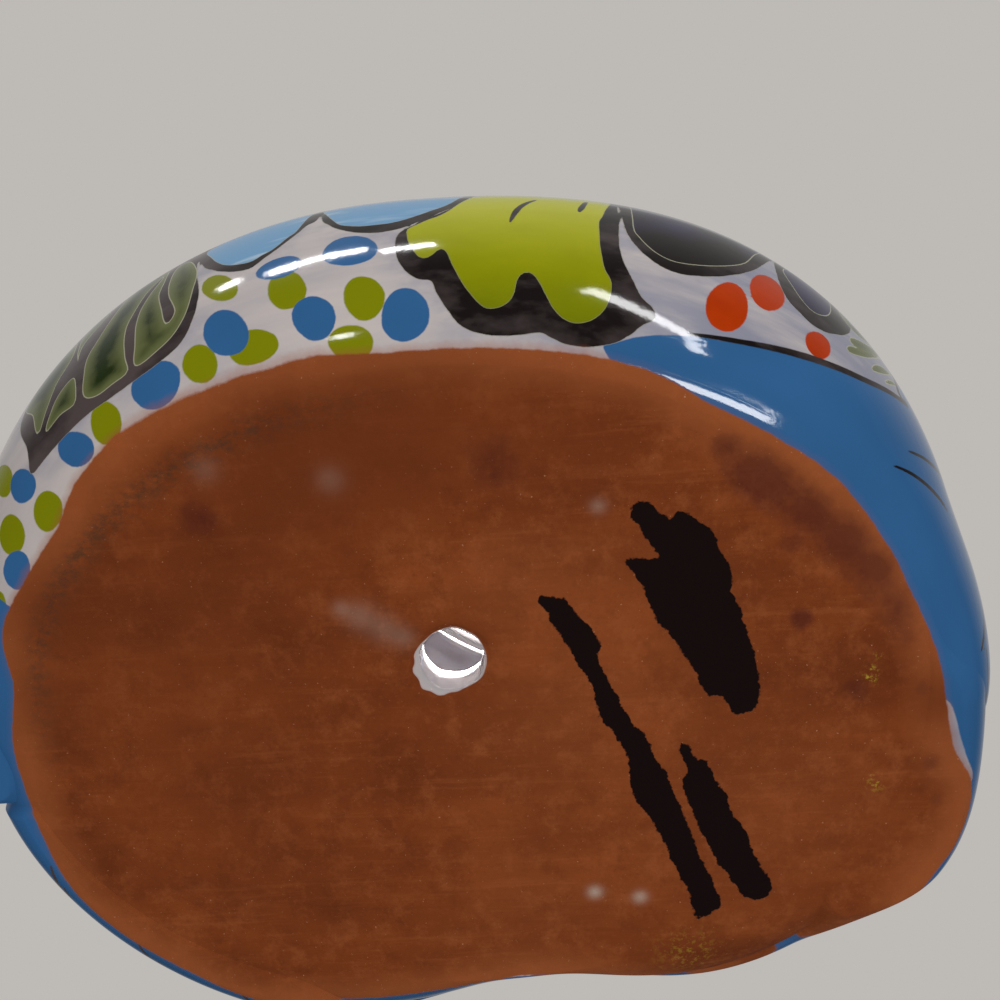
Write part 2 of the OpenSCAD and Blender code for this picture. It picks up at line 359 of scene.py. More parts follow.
@dataclass(frozen=True)
class PotForm:
    """The pot's own form: foot, belly, shoulder, mouth and the reliefs on it."""

    foot_half: tuple[float, float] = (78.0, 100.5)
    belly_half: tuple[float, float] = (105.5, 121.5)
    belly_square: float = 2.25
    belly_height: float = 48.0
    mouth_half: tuple[float, float] = (56.0, 66.0)
    mouth_shift: float = 30.0
    mouth_height: float = 120.0
    roundness: float = 2.6
    tuck: float = 1.5
    tuck_middle: float = 172.0
    tuck_width: float = 24.0
    ease: float = 1.1
    ease_middle: float = 6.0
    ease_width: float = 70.0
    shoulder: float = math.radians(67.0)
    wall: float = 8.0
    foot_ring: float = 5.0
    slab_ledge: float = 4.0
    floor_level: float = 9.4
    hand_wobble: float = 0.35
    limbs: tuple[Limb, ...] = (
        FrontLeg("leg_front_left", "left_front_leg", 270.6, 281.6),
        FrontLeg("leg_front_right", "right_front_leg", 269.4, 258.4),
        HindLeg("leg_hind_left", "left_hind_leg", 25.0, 110.1),
        Haunch("haunch_right", "right_haunch", 96.0, 138.0),
        Tail("tail_round_flank", "tail", 82.0, 257.6),
    )

    def foot_r(self, a: Array) -> Array:
        """Radius of the foot, an ellipse."""
        return oval(a, *self.foot_half, 2.0)

    def belly_r(self, a: Array) -> Array:
        """Radius of the belly, a slightly squared oval."""
        return oval(a, *self.belly_half, self.belly_square)

    def slab_r(self, a: Array) -> Array:
        """Radius of the floor slab, inside the foot ring."""
        return self.foot_r(a) - self.foot_ring

    def mouth_r(self, a: Array) -> Array:
        """Polar radius of the mouth, an ellipse whose middle lies behind the pot's.

        Args:
            a: Azimuths in radians.

        Returns:
            Radii in millimetres.
        """
        half_x, half_y = self.mouth_half
        p = (np.cos(a) / half_x) ** 2 + (np.sin(a) / half_y) ** 2
        q = self.mouth_shift * np.sin(a) / half_y**2
        s = (self.mouth_shift / half_y) ** 2 - 1.0
        return (q + np.sqrt(q * q - p * s)) / p

    def flank_power(self, a: Array) -> Array:
        """Power of the foot's turn, gentler along the left flank and under the tail on the right."""
        tucked = self.tuck * swell(turn_from(a, self.tuck_middle), 0.0, self.tuck_width)
        eased = self.ease * np.exp(-((turn_from(a, self.ease_middle) / self.ease_width) ** 4))
        return 2.0 / (self.roundness - tucked - eased)

    def section(
        self, a: Array, m: Array, low: tuple[Array, float], wide: Array, top: tuple[Array, float]
    ) -> tuple[Array, Array]:
        """A point of an upright section.

        From m 0 to 1 it is a superellipse from the low ring to the belly, and from 1 to 2 an
        elliptic arc from the belly to the top ring.

        Args:
            a: Azimuths in radians.
            m: Places up the section.
            low: Radius and height of the low ring.
            wide: Radius at the belly.
            top: Radius and height of the top ring.

        Returns:
            Radii and heights in millimetres.
        """
        rise = np.clip(m, 0.0, 1.0) * math.pi / 2.0
        power = self.flank_power(a)
        grow = np.sin(rise) ** power
        climb = 1.0 - np.clip(np.cos(rise), 0.0, 1.0) ** power
        t = np.clip(m - 1.0, 0.0, 1.0) * self.shoulder
        fall = (1.0 - np.cos(t)) / (1.0 - math.cos(self.shoulder))
        over = np.sin(t) / math.sin(self.shoulder)
        r = low[0] + (wide - low[0]) * grow - (wide - top[0]) * fall
        z = low[1] + (self.belly_height - low[1]) * climb + (top[1] - self.belly_height) * over
        return r, z

    def outer(self, a: Array, m: Array) -> tuple[Array, Array]:
        """Radius and height of the skin, with the foot ring's flat underside below m = 0."""
        foot = self.foot_r(a)
        r, z = self.section(a, m, (foot, 0.0), self.belly_r(a), (self.mouth_r(a), self.mouth_height))
        return r + np.clip(m, -1.0, 0.0) * self.foot_ring, z

    def inner(self, a: Array, m: Array) -> tuple[Array, Array]:
        """Radius and height of the inside, a wall's thickness in from the skin."""
        low = (self.slab_r(a) - self.slab_ledge, self.floor_level)
        top = (self.mouth_r(a), self.mouth_height - self.wall)
        return self.section(a, m, low, self.belly_r(a) - self.wall, top)

    def outward(self, a: Array, m: Array) -> tuple[Array, Array]:
        """Outward direction of the section, square to the chord over 0.02 of m.

        Args:
            a: Azimuths in radians.
            m: Places up the section.

        Returns:
            The direction's parts away from the axis and up.
        """
        inside = np.clip(m, 0.01, 1.99)
        r0, z0 = self.outer(a, inside - 0.01)
        r1, z1 = self.outer(a, inside + 0.01)
        size = np.hypot(r1 - r0, z1 - z0)
        return (z1 - z0) / size, (r0 - r1) / size

    def wobble(self, a: Array, m: Array) -> Array:
        """Unevenness of hand-pressed clay, a sum of slow waves that dies out at the foot."""
        waves = np.sin(3.0 * a + 1.3) * np.sin(2.6 * m + 0.4) + 0.6 * np.sin(7.0 * a + 3.1 * m)
        return self.hand_wobble * waves * blend(m / 0.6) * (1.0 - blend((m - 1.7) / 0.3))

    def skin(self, a: Array, m: Array, lift: Array | float = 0.0, limbs: bool = False) -> Array:
        """Points of the skin, lifted off it square to the section and kept over the ground.

        Args:
            a: Azimuths in radians.
            m: Places up the section.
            lift: Distance off the skin.
            limbs: Adds the reliefs of all limbs.

        Returns:
            Points along the last axis, in millimetres.
        """
        a, m = np.broadcast_arrays(np.asarray(a, float), np.asarray(m, float))
        r, z = self.outer(a, m)
        out_r, out_z = self.outward(a, m)
        total = lift + self.wobble(a, m)
        if limbs:
            total = total + np.max([limb.lift(a, m) for limb in self.limbs], axis=0)
        r, z = r + total * out_r, np.maximum(z + total * out_z, 0.0)
        return around(r, a, z)

    def climb(self, z: Array) -> Array:
        """Place up the section of a height, the inverse of the section's arcs.

        Args:
            z: Heights in millimetres.

        Returns:
            Places up the section.
        """
        z = np.asarray(z, float)
        left = np.clip(1.0 - z / self.belly_height, 0.0, 1.0)
        low = np.arccos(left ** (self.roundness / 2.0)) * 2.0 / math.pi
        share = np.clip((z - self.belly_height) / (self.mouth_height - self.belly_height), 0.0, 1.0)
        high = 1.0 + np.arcsin(share * math.sin(self.shoulder)) / self.shoulder
        return np.where(z <= self.belly_height, low, high)

    def shoulder_z(self, a: Array, r: Array) -> Array:
        """Height of the shoulder at a radius.

        Args:
            a: Azimuths in radians.
            r: Radii in millimetres.

        Returns:
            Heights in millimetres.
        """
        wide = self.belly_r(a)
        share = np.clip((wide - r) / (wide - self.mouth_r(a)), 0.0, 1.0)
        rise = np.sin(np.arccos(1.0 - share * (1.0 - math.cos(self.shoulder))))
        climb = (self.mouth_height - self.belly_height) * rise / math.sin(self.shoulder)
        return self.belly_height + climb


POT = PotForm()


@dataclass(frozen=True)
class PhotoView:
    """The photograph's camera in the part's frame, in millimetres and pixels."""

    place: tuple[float, float, float] = (137.10, 28.23, -237.15)
    right: tuple[float, float, float] = (-0.0763, 0.9965, 0.0332)
    up: tuple[float, float, float] = (0.9337, 0.0597, 0.3531)
    forward: tuple[float, float, float] = (-0.3499, -0.0579, 0.9350)
    frame_px: float = 1000.0
    lens_mm: float = 43.456
    sensor_mm: float = 36.0
    step: float = 1e-3
    longest_move: float = 0.02
    rounds: int = 6

    @property
    def focal_px(self) -> float:
        """Focal length in pixels."""
        return self.lens_mm / self.sensor_mm * self.frame_px

    def project(self, points: Array) -> Array:
        """Pixels of points in millimetres.

        Args:
            points: Points along the last axis.

        Returns:
            Pixel columns and rows.
        """
        v = np.asarray(points) - np.array(self.place)
        depth = v @ np.array(self.forward)
        across, rise = v @ np.array(self.right), v @ np.array(self.up)
        middle = self.frame_px / 2.0
        x, y = middle + self.focal_px * across / depth, middle - self.focal_px * rise / depth
        return vectors(x, y)

    def pixels(self, a: Array, m: Array) -> Array:
        """Pixels of places on the skin."""
        return self.project(POT.skin(a, m, limbs=True))

    def on_base(self, pixels: Sequence[Pixel]) -> Array:
        """Points of the resting plane that pixels show.

        Args:
            pixels: Places in the photograph.

        Returns:
            x and y in millimetres.
        """
        px = (np.array(pixels, float) - self.frame_px / 2.0) / self.focal_px
        ways = np.array(self.forward) + px[:, :1] * np.array(self.right) - px[:, 1:] * np.array(self.up)
        start = np.array(self.place)
        return start[:2] - ways[:, :2] * (start[2] / ways[:, 2:])

    @cached_property
    def facing_grid(self) -> tuple[Array, Array, Array]:
        """Azimuths, section places and pixels of the skin's points that face the camera."""
        turns, climbs = np.radians(np.arange(0.0, 360.0, 0.75)), np.arange(0.02, 1.6, 0.0125)
        a, m = (grid.ravel() for grid in np.meshgrid(turns, climbs, indexing="ij"))
        points = POT.skin(a, m, limbs=True)
        along = POT.skin(a + self.step, m, limbs=True) - points
        up = POT.skin(a, m + self.step, limbs=True) - points
        facing = np.einsum("ij,ij->i", np.cross(along, up), points - np.array(self.place)) < 0.0
        return a[facing], m[facing], self.project(points[facing])

    def on_skin(self, pixels: Sequence[Pixel]) -> Array:
        """Places on the pot's skin that pixels show.

        The nearest facing point of a coarse grid is found first and then moved by Newton steps.

        Args:
            pixels: Places in the photograph.

        Returns:
            Azimuth in radians and place up the section, one row to a pixel.
        """
        goal = np.array(pixels, float)
        a, m, seen = self.facing_grid
        best = np.array([np.argmin(((seen - g) ** 2).sum(1)) for g in goal])
        spot = vectors(a[best], m[best])
        error = np.linalg.norm(seen[best] - goal, axis=1)
        most = self.longest_move
        for _ in range(self.rounds):
            now = self.pixels(spot[:, 0], spot[:, 1])
            da = (self.pixels(spot[:, 0] + self.step, spot[:, 1]) - now) / self.step
            dm = (self.pixels(spot[:, 0], spot[:, 1] + self.step) - now) / self.step
            gap = goal - now
            det = da[:, 0] * dm[:, 1] - da[:, 1] * dm[:, 0]
            det = np.where(np.abs(det) < 1e-6, 1e-6, det)
            move_a = np.clip((gap[:, 0] * dm[:, 1] - gap[:, 1] * dm[:, 0]) / det, -most, most)
            move_m = np.clip((da[:, 0] * gap[:, 1] - da[:, 1] * gap[:, 0]) / det, -most, most)
            trial = spot + vectors(move_a, move_m)
            trial[:, 1] = np.clip(trial[:, 1], 0.0, 1.9)
            missed = np.linalg.norm(self.pixels(trial[:, 0], trial[:, 1]) - goal, axis=1)
            better = missed < error
            spot = np.where(better[:, None], trial, spot)
            error = np.where(better, missed, error)
        return spot

    def build(self) -> None:
        """Makes the scene's camera, with axes that are exactly square to each other."""
        data = bpy.data.cameras.new("photo_view")
        data.lens, data.sensor_width, data.sensor_fit = self.lens_mm, self.sensor_mm, "AUTO"
        data.clip_start = 0.01
        camera = bpy.data.objects.new("photo_view", data)
        axes, sides = np.linalg.qr(vectors(self.right, self.up, -np.array(self.forward)))
        set_up(camera, axes * np.sign(np.diag(sides)), np.array(self.place) * MM)
        bpy.context.scene.camera = camera


VIEW = PhotoView()


def smooth_line(knots: Array, closed: bool, per_span: int = 6) -> Array:
    """Catmull-Rom curve through knots.

    Args:
        knots: Points in the rows.
        closed: Joins the last knot to the first.
        per_span: Samples between two knots.

    Returns:
        Points of the curve, without repeating the first when closed.
    """
    if closed:
        padded = np.concatenate([knots[-1:], knots, knots[:2]])
    else:
        padded = np.concatenate([2 * knots[:1] - knots[1:2], knots, 2 * knots[-1:] - knots[-2:-1]])
    t = (np.arange(per_span) / per_span)[None, :, None]
    p0, p1, p2, p3 = (padded[i : len(padded) - 3 + i][:, None] for i in range(4))
    curve = 0.5 * (
        2 * p1 + (p2 - p0) * t + (2 * p0 - 5 * p1 + 4 * p2 - p3) * t**2 + (3 * p1 - p0 - 3 * p2 + p3) * t**3
    )
    points = curve.reshape(-1, knots.shape[1])
    return points if closed else np.concatenate([points, knots[-1:]])


@dataclass(frozen=True)
class Canvas:
    """Where paint goes on a piece: flat places for inside tests and points for distances."""

    flat: Array
    points: Array
    period: float = 0.0

    def near_flat(self, middle: float) -> Array:
        """Flat places with the first coordinate unwrapped about a middle.

        Args:
            middle: The first coordinate to be near.

        Returns:
            The flat places.
        """
        if not self.period:
            return self.flat
        turned = (self.flat[:, 0] - middle + self.period / 2.0) % self.period - self.period / 2.0
        return vectors(turned + middle, self.flat[:, 1])


@dataclass(frozen=True)
class Outline:
    """A closed painted outline on a canvas."""

    flat: Array
    points: Array
    reach: float = 5.0

    def distance(self, canvas: Canvas) -> Array:
        """Signed distance in millimetres from canvas points, negative inside.

        The distance is to the nearest chord of the outline, and the sign comes from counting
        how often a level ray crosses the outline on the flat.

        Args:
            canvas: The piece's places.

        Returns:
            One distance to a canvas point, FAR where the outline is out of reach.
        """
        result = np.full(len(canvas.points), FAR)
        low, high = self.points.min(0) - self.reach, self.points.max(0) + self.reach
        picked = np.flatnonzero(((canvas.points > low) & (canvas.points < high)).all(1))
        flat = canvas.near_flat(float(self.flat[:, 0].mean()))
        start, stop = self.points, np.roll(self.points, -1, axis=0)
        flat_a, flat_b = self.flat, np.roll(self.flat, -1, axis=0)
        rise = flat_b[:, 1] - flat_a[:, 1]
        rise = np.where(np.abs(rise) < 1e-12, 1e-12, rise)
        for part in np.array_split(picked, max(1, len(picked) // 400)):
            size = chord_distance(canvas.points[part], start, stop)[0]
            x, y = flat[part, 0][:, None], flat[part, 1][:, None]
            crosses = (flat_a[:, 1] > y) != (flat_b[:, 1] > y)
            left = x < flat_a[:, 0] + (flat_b[:, 0] - flat_a[:, 0]) * (y - flat_a[:, 1]) / rise
            inside = (crosses & left).sum(1) % 2 == 1
            result[part] = np.where(inside, -size, size)
        return result


def chord_distance(points: Array, start: Array, stop: Array) -> tuple[Array, Array, Array]:
    """Distance from points to the nearest of some chords.

    Args:
        points: Points in the rows.
        start: First ends of the chords.
        stop: Last ends of the chords.

    Returns:
        The distance, the nearest chord's number and the share along it, for each point.
    """
    way = stop - start
    length = np.maximum((way**2).sum(1), 1e-12)
    offset = points[:, None] - start[None]
    share = np.clip((offset * way[None]).sum(-1) / length, 0.0, 1.0)
    gap = np.linalg.norm(offset - share[..., None] * way[None], axis=-1)
    nearest = gap.argmin(1)
    rows = np.arange(len(points))
    return gap[rows, nearest], nearest, share[rows, nearest]


@dataclass(frozen=True)
class Stroke:
    """An open brush stroke on a canvas, widest at a place along it and fine at its ends."""

    points: Array
    normal: Array
    width: float
    fullest: float = 0.5
    fine: float = 0.25

    def paint(self, canvas: Canvas, across: Array, half: Array, gap: Array) -> None:
        """Puts the stroke on a canvas where it is nearer than the strokes before it.

        Args:
            canvas: The piece's places.
            across: Signed distance across the nearest stroke, changed in place.
            half: Half width of the nearest stroke there, changed in place.
            gap: Distance to the nearest stroke, changed in place.
        """
        low, high = self.points.min(0) - 4.0, self.points.max(0) + 4.0
        picked = np.flatnonzero(((canvas.points > low) & (canvas.points < high)).all(1))
        if not len(picked):
            return
        start, stop = self.points[:-1], self.points[1:]
        size, chord, share = chord_distance(canvas.points[picked], start, stop)
        along = (chord + share) / len(start)
        way = unit(stop - start)[chord]
        offset = canvas.points[picked] - (start[chord] + share[:, None] * (stop - start)[chord])
        side = np.sign(np.einsum("ij,ij->i", np.cross(way, offset), self.normal[chord]))
        before, after = along / self.fullest, (1.0 - along) / (1.0 - self.fullest)
        taper = np.clip(np.minimum(before, after), 0.0, 1.0)
        ends = np.where((along <= 0.0) | (along >= 1.0), size, 0.0)
        width = 0.5 * self.width * (self.fine + (1.0 - self.fine) * np.sqrt(taper)) - ends
        nearer = size < gap[picked]
        rows = picked[nearer]
        across[rows] = (np.where(side == 0, 1, side) * size)[nearer]
        half[rows] = width[nearer]
        gap[rows] = size[nearer]


class Painting:
    """Places marks on the pot's skin, from the photograph or by azimuth and height."""

    def __init__(self, mirrored: bool = False) -> None:
        """Starts a painting, which is put on the other flank where it is mirrored."""
        self.mirrored = mirrored

    def spots(self, seen: Sequence[Pixel], hidden: Sequence[SkinSpot] = ()) -> Array:
        """Skin places of pixels, followed by places given as azimuth in degrees and height.

        Args:
            seen: Places in the photograph.
            hidden: Places that it doesn't show.

        Returns:
            Azimuth in radians and place up the section.
        """
        rows = []
        if len(seen):
            rows.append(VIEW.on_skin(seen))
        if len(hidden):
            away = np.array(hidden, float)
            rows.append(vectors(np.radians(away[:, 0]), POT.climb(away[:, 1])))
        spots = np.concatenate(rows)
        spots[:, 0] = (spots[:, 0] - spots[0, 0] + math.pi) % (2 * math.pi) - math.pi + spots[0, 0]
        if self.mirrored:
            spots[:, 0] = math.pi - spots[:, 0]
        return spots

    def outline(self, seen: Sequence[Pixel], hidden: Sequence[SkinSpot] = ()) -> Outline:
        """A closed outline through places on the skin."""
        flat = smooth_line(self.spots(seen, hidden), closed=True)
        return Outline(flat, POT.skin(flat[:, 0], flat[:, 1]))

    def petal(self, middle: SkinSpot, turn: float, near: float, far: float, width: float) -> Outline:
        """A petal beside a flower's middle: an egg that is broader at its far end.

        Args:
            middle: Azimuth in degrees and height of the flower's middle.
            turn: Direction of the petal in degrees, 0 along the flank and 90 up it.
            near: Distance of its near end from the middle, in millimetres.
            far: Distance of its far end.
            width: Its width.

        Returns:
            The petal's outline.
        """
        t = circle(40)
        along = (near + far) / 2.0 - (far - near) / 2.0 * np.cos(t)
        side = width / 2.0 * np.sin(t) * (1.0 - 0.22 * np.cos(t))
        way = math.radians(turn)
        x, y = along * math.cos(way) - side * math.sin(way), along * math.sin(way) + side * math.cos(way)
        base = self.spots((), [middle])[0]
        here = POT.skin(base[0], base[1])
        per_a = np.linalg.norm(POT.skin(base[0] + 0.01, base[1]) - here) / 0.01
        per_m = np.linalg.norm(POT.skin(base[0], base[1] + 0.01) - here) / 0.01
        sign = -1.0 if self.mirrored else 1.0
        flat = vectors(base[0] + sign * x / per_a, np.clip(base[1] + y / per_m, 0.02, 1.98))
        return Outline(flat, POT.skin(flat[:, 0], flat[:, 1]))

    def stroke(
        self, width: float, seen: Sequence[Pixel] = (), hidden: Sequence[SkinSpot] = (), fullest: float = 0.5
    ) -> Stroke:
        """A brush stroke through places on the skin.

        Args:
            width: Its greatest width in millimetres.
            seen: Places in the photograph.
            hidden: Places that it doesn't show.
            fullest: Where along it the stroke is widest, from 0 to 1.

        Returns:
            The stroke.
        """
        flat = smooth_line(self.spots(seen, hidden), closed=False)
        points = POT.skin(flat[:, 0], flat[:, 1])
        middle = (flat[:-1] + flat[1:]) / 2.0
        normal = unit(POT.skin(middle[:, 0], middle[:, 1], 1.0) - POT.skin(middle[:, 0], middle[:, 1]))
        return Stroke(points, normal, width, fullest)

    def dab(self, x: float, y: float, half_x: float, half_y: float, turn: float) -> Outline:
        """An oval dab of the brush that the photograph shows, with a slightly uneven edge.

        Args:
            x: Pixel column of its middle.
            y: Pixel row of its middle.
            half_x: Half its width in pixels.
            half_y: Half its height.
            turn: How far it leans, in degrees.

        Returns:
            The dab's outline.
        """
        t = circle(14)
        size = 1.0 + 0.03 * np.sin(2.0 * t + x) + 0.02 * np.sin(3.0 * t + y)
        across, down, lean = half_x * size * np.cos(t), half_y * size * np.sin(t), math.radians(turn)
        column = x + across * math.cos(lean) - down * math.sin(lean)
        row = y + across * math.sin(lean) + down * math.cos(lean)
        return self.outline(vectors(column, row))

    def round_dots(self, places: Sequence[SkinSpot], radius: float) -> Dots:
        """Round dots at azimuths and heights."""
        return POT.skin(*self.spots((), places).T), radius


def dot_distance(points: Array, dots: Sequence[Dots]) -> Array:
    """Signed distance to the nearest round dot, whose edge wavers by a little of its radius.

    Args:
        points: Points in millimetres, in the rows.
        dots: Groups of dots' middles, with their radius.

    Returns:
        Distances in millimetres, negative inside a dot.
    """
    result = np.full(len(points), FAR)
    for middles, radius in dots:
        for middle in np.asarray(middles):
            x, y, z = (points - middle).T
            waver = DOT_WAVER * radius * np.sin(0.9 * x + 1.3 * y + middle[0]) * np.cos(0.8 * z + middle[1])
            result = np.minimum(result, np.linalg.norm(points - middle, axis=1) - radius + waver)
    return result


def nearest_outline(outlines: Sequence[Outline], canvas: Canvas) -> Array:
    """Signed distance to the nearest of some outlines."""
    none = [np.full(len(canvas.points), FAR)]
    return np.min([outline.distance(canvas) for outline in outlines] or none, axis=0)


def stroke_field(strokes: Sequence[Stroke], canvas: Canvas) -> Array:
    """Across, half width and distance of the nearest stroke, as a vector to a point.

    Args:
        strokes: The strokes.
        canvas: The piece's places.

    Returns:
        One vector to a canvas point.
    """
    count = len(canvas.points)
    across, half, gap = np.full(count, FAR), np.full(count, -1.0), np.full(count, FAR)
    for stroke in strokes:
        stroke.paint(canvas, across, half, gap)
    return vectors(across, half, gap)


class FlankPainting:
    """All the painting on the pot and its limbs: flowers, leaves, dots and fur strokes."""

    LIME_DABS = (
        (220, 288, 18, 13, 0), (287, 290, 20, 19, 0), (364, 298, 21, 22, 0), (351, 343, 23, 18, 0),
        (253, 347, 25, 18, -12), (200, 364, 18, 19, 0), (106, 423, 16, 21, 0), (48, 511, 15, 20, 0),
        (12, 535, 13, 20, 0), (4, 481, 9, 16, 0), (0, 605, 6, 14, 0),
    )
    BLUE_DABS = (
        (279, 268, 23, 10, -16), (350, 251, 29, 14, -8), (314, 318, 22, 22, 0), (405, 315, 24, 27, 0),
        (226, 333, 23, 23, 0), (156, 385, 28, 21, -48), (76, 449, 18, 18, 0), (23, 486, 13, 17, 0),
        (17, 570, 14, 19, 0),
    )
    ORANGE_DABS = ((727, 307, 22, 24, 0), (767, 293, 20, 15, 45), (818, 345, 15, 11, 52))
    DARK_MARKS = (
        (((201, 249), (197, 271), (199, 288), (197, 305), (191, 324), (180, 344), (160, 362),
         (134, 381), (112, 397), (87, 415), (65, 436), (46, 458), (31, 474), (27, 449), (24, 415)),
         ((-49, 56), (-42, 66), (-33, 66), (-27, 57))),
        (((198, 256), (202, 265), (211, 270), (230, 272), (249, 269), (262, 260), (280, 247),
         (297, 234), (308, 225), (318, 219)), ((-13, 60), (-17, 68), (-22, 66), (-26, 58))),
        (((322, 218), (330, 226), (345, 231), (362, 233), (384, 232), (408, 226), (434, 215),
         (460, 204), (478, 196)), ((8, 58), (6, 70), (-2, 75), (-9, 69), (-12, 58))),
        (((481, 196), (455, 206), (420, 222), (400, 232), (395, 243), (397, 258), (405, 271),
         (417, 279), (431, 281), (436, 293), (447, 310), (460, 325), (477, 333), (499, 336), (521, 335),
         (540, 333), (551, 338), (568, 345), (590, 347), (612, 344), (629, 336), (642, 326), (655, 319),
         (653, 308), (642, 297), (633, 280), (623, 260), (619, 241), (619, 217), (618, 207)), ((25, 60),
         (24, 74), (15, 82), (5, 76), (6, 60))),
        (((621, 209), (622, 219), (629, 237), (645, 255), (668, 270), (695, 276), (726, 276),
         (752, 271), (768, 262)), ((43, 58), (40, 70), (33, 74), (26, 69), (23, 58))),
        (((774, 262), (777, 276), (786, 297), (802, 315), (817, 328), (833, 334), (849, 333)),
         ((54, 52), (53, 63), (48, 68), (45, 62))),
    )
    LEAF_MARKS = (
        (((95, 321), (120, 297), (150, 271), (180, 253), (196, 246)), ((-28, 61), (-33, 65),
         (-38, 65))),
        (((82, 331), (80, 339), (73, 356), (57, 383), (47, 408), (38, 434), (33, 416), (30, 403)),
         ((-48, 58), (-44, 64), (-39, 64))),
        (((74, 378), (75, 402), (60, 415), (46, 432), (51, 412), (60, 393)), ()),
        (((77, 364), (83, 346), (101, 324), (126, 299), (156, 274), (140, 285), (113, 305), (91, 329),
         (79, 349)), ()),
        (((84, 396), (84, 375), (88, 357), (100, 337), (117, 312), (137, 290), (160, 272), (176, 262),
         (162, 278), (147, 293), (135, 311), (127, 326), (124, 341), (125, 358), (127, 372), (111, 385),
         (96, 396)), ()),
        (((136, 366), (135, 345), (136, 326), (141, 310), (150, 295), (161, 281), (172, 268),
         (165, 281), (159, 295), (161, 308), (166, 324), (175, 311), (169, 296), (170, 282), (180, 266),
         (190, 262), (197, 272), (192, 292), (186, 312), (175, 332), (160, 348)), ()),
    )
    BLUE_MARKS = (
        (((209, 251), (212, 258), (219, 263), (228, 265), (240, 264), (252, 261), (262, 255),
         (273, 249), (287, 238), (300, 227)), ((-14.5, 57), (-17, 64), (-22, 62), (-24.5, 55))),
        (((325, 214), (335, 222), (352, 226), (373, 225), (399, 221), (427, 212), (451, 203),
         (467, 196)), ((5, 57), (4, 67), (-2, 71), (-8, 65), (-11, 56))),
    )
    LIME_MARKS = (
        (((482, 196), (450, 210), (425, 221), (408, 229), (407, 235), (409, 243), (417, 255),
         (425, 258), (433, 254), (439, 249), (446, 251), (453, 266), (462, 282), (473, 297), (484, 307),
         (495, 308), (507, 303), (514, 293), (517, 280), (523, 273), (531, 273), (538, 280), (545, 293),
         (553, 308), (564, 319), (577, 323), (592, 320), (604, 310), (610, 297), (611, 282), (604, 267),
         (600, 245), (599, 223), (603, 215), (609, 205)), ((22, 60), (21, 71), (15, 78), (8, 73),
         (8, 60))),
    )
    PLUM_MARKS = (
        (((633, 224), (640, 238), (658, 254), (681, 263), (715, 266), (742, 264), (753, 256)),
         ((41, 55), (38, 66), (33, 69), (27.5, 65), (25, 56))),
        (((783, 270), (793, 287), (807, 306), (820, 315), (830, 313)), ((50.5, 50), (50, 58), (48, 62),
         (46, 58))),
    )
    FOOT_COAT = (
        (603, 348), (619, 342), (637, 337), (664, 335), (690, 336), (736, 343), (773, 349), (807, 359),
        (838, 369), (867, 382), (890, 394), (908, 407),
    )
    FOOT_COAT_HIDDEN = (
        (62, 28), (62, 46), (65, 66), (74, 82), (90, 86), (101, 72), (106, 40), (106, 8), (100, 1.2),
        (92, 1.4), (86, 0.4), (75, 0.0), (55, 0.0), (40, 0.0), (31, 0.1),
    )
    LOW_COATS = (
        ((246, 0.0), (246, 14), (258, 14), (271, 13), (279, 13), (284.6, 9), (285, 0.0)),
        ((97, 0.0), (98, 12), (112, 16), (140, 30), (172, 40), (205, 34), (232, 20), (247, 14),
         (247, 0.0)),
    )
    BARE_GLAZE = (
        (940, 700), (951, 704), (957, 722), (962, 741), (967, 757), (973, 776), (965, 786), (954, 765),
        (945, 730),
    )
    FOOT_LINE = (
        (688, 334), (736, 341), (773, 348), (807, 357), (838, 368), (867, 381), (891, 393), (907, 405),
    )
    FOOT_LINE_HIDDEN = ((61.5, 26), (61.5, 46), (64, 66), (73, 82), (88, 86))
    LIME_STROKES = (
        ((510, 222), (517, 210), (527, 203), (537, 200)),
        ((579, 212), (583, 206), (587, 202)),
    )
    FUR_SEEN = (
        ((908, 451), (930, 463), (948, 483), (962, 512)),
        ((892, 465), (912, 474), (930, 488), (942, 502), (948, 512)),
        ((981, 598), (984, 625), (981, 652)),
        ((986, 645), (988, 680), (984, 722)),
    )
    RUMP_LEAVES = (
        ((850, 338), (856, 339), (867, 345), (876, 352), (882, 358), (874, 355), (861, 350),
         (852, 344)),
        ((847, 347), (851, 346), (861, 350), (874, 355), (880, 359), (869, 358), (856, 355),
         (848, 351)),
        ((872, 368), (874, 365), (880, 366), (888, 372), (892, 376), (883, 374), (873, 371)),
        ((884, 382), (888, 380), (893, 382), (897, 386), (891, 385), (885, 383)),
        ((840, 309), (845, 312), (859, 328), (872, 346), (868, 344), (856, 334), (844, 320)),
    )
    BLUE_FLOWER = (-10.0, 84.0)
    PLUM_FLOWER = (37.0, 84.0)
    FUR_HIDDEN = (
        ((70, 40), (75, 34), (79, 26)), ((72, 48), (78, 42), (83, 32)), ((74, 66), (80, 64), (86, 58)),
        ((73, 74), (80, 73), (87, 68)), ((104, 70), (110, 68), (116, 63)), ((103, 78), (110, 77),
        (118, 72)), ((122, 88), (128, 84), (132, 78)), ((119, 82), (125, 78), (129, 72)),
    )
    TOE_STROKES = (
        ((274.9, 2.5), (274.9, 9), (275.1, 15)), ((278.8, 2.5), (278.8, 9), (278.6, 15)), ((265.1, 2.5),
        (265.1, 9), (264.9, 15)), ((261.2, 2.5), (261.2, 9), (261.4, 15)),
    )
    LEG_FUR = (
        ((273, 44), (274, 36), (274.5, 30)), ((276, 50), (277.5, 42), (278, 34)), ((267, 44), (266, 36),
        (265.5, 30)), ((264, 50), (262.5, 42), (262, 34)),
    )
    CREST_DOTS = 34

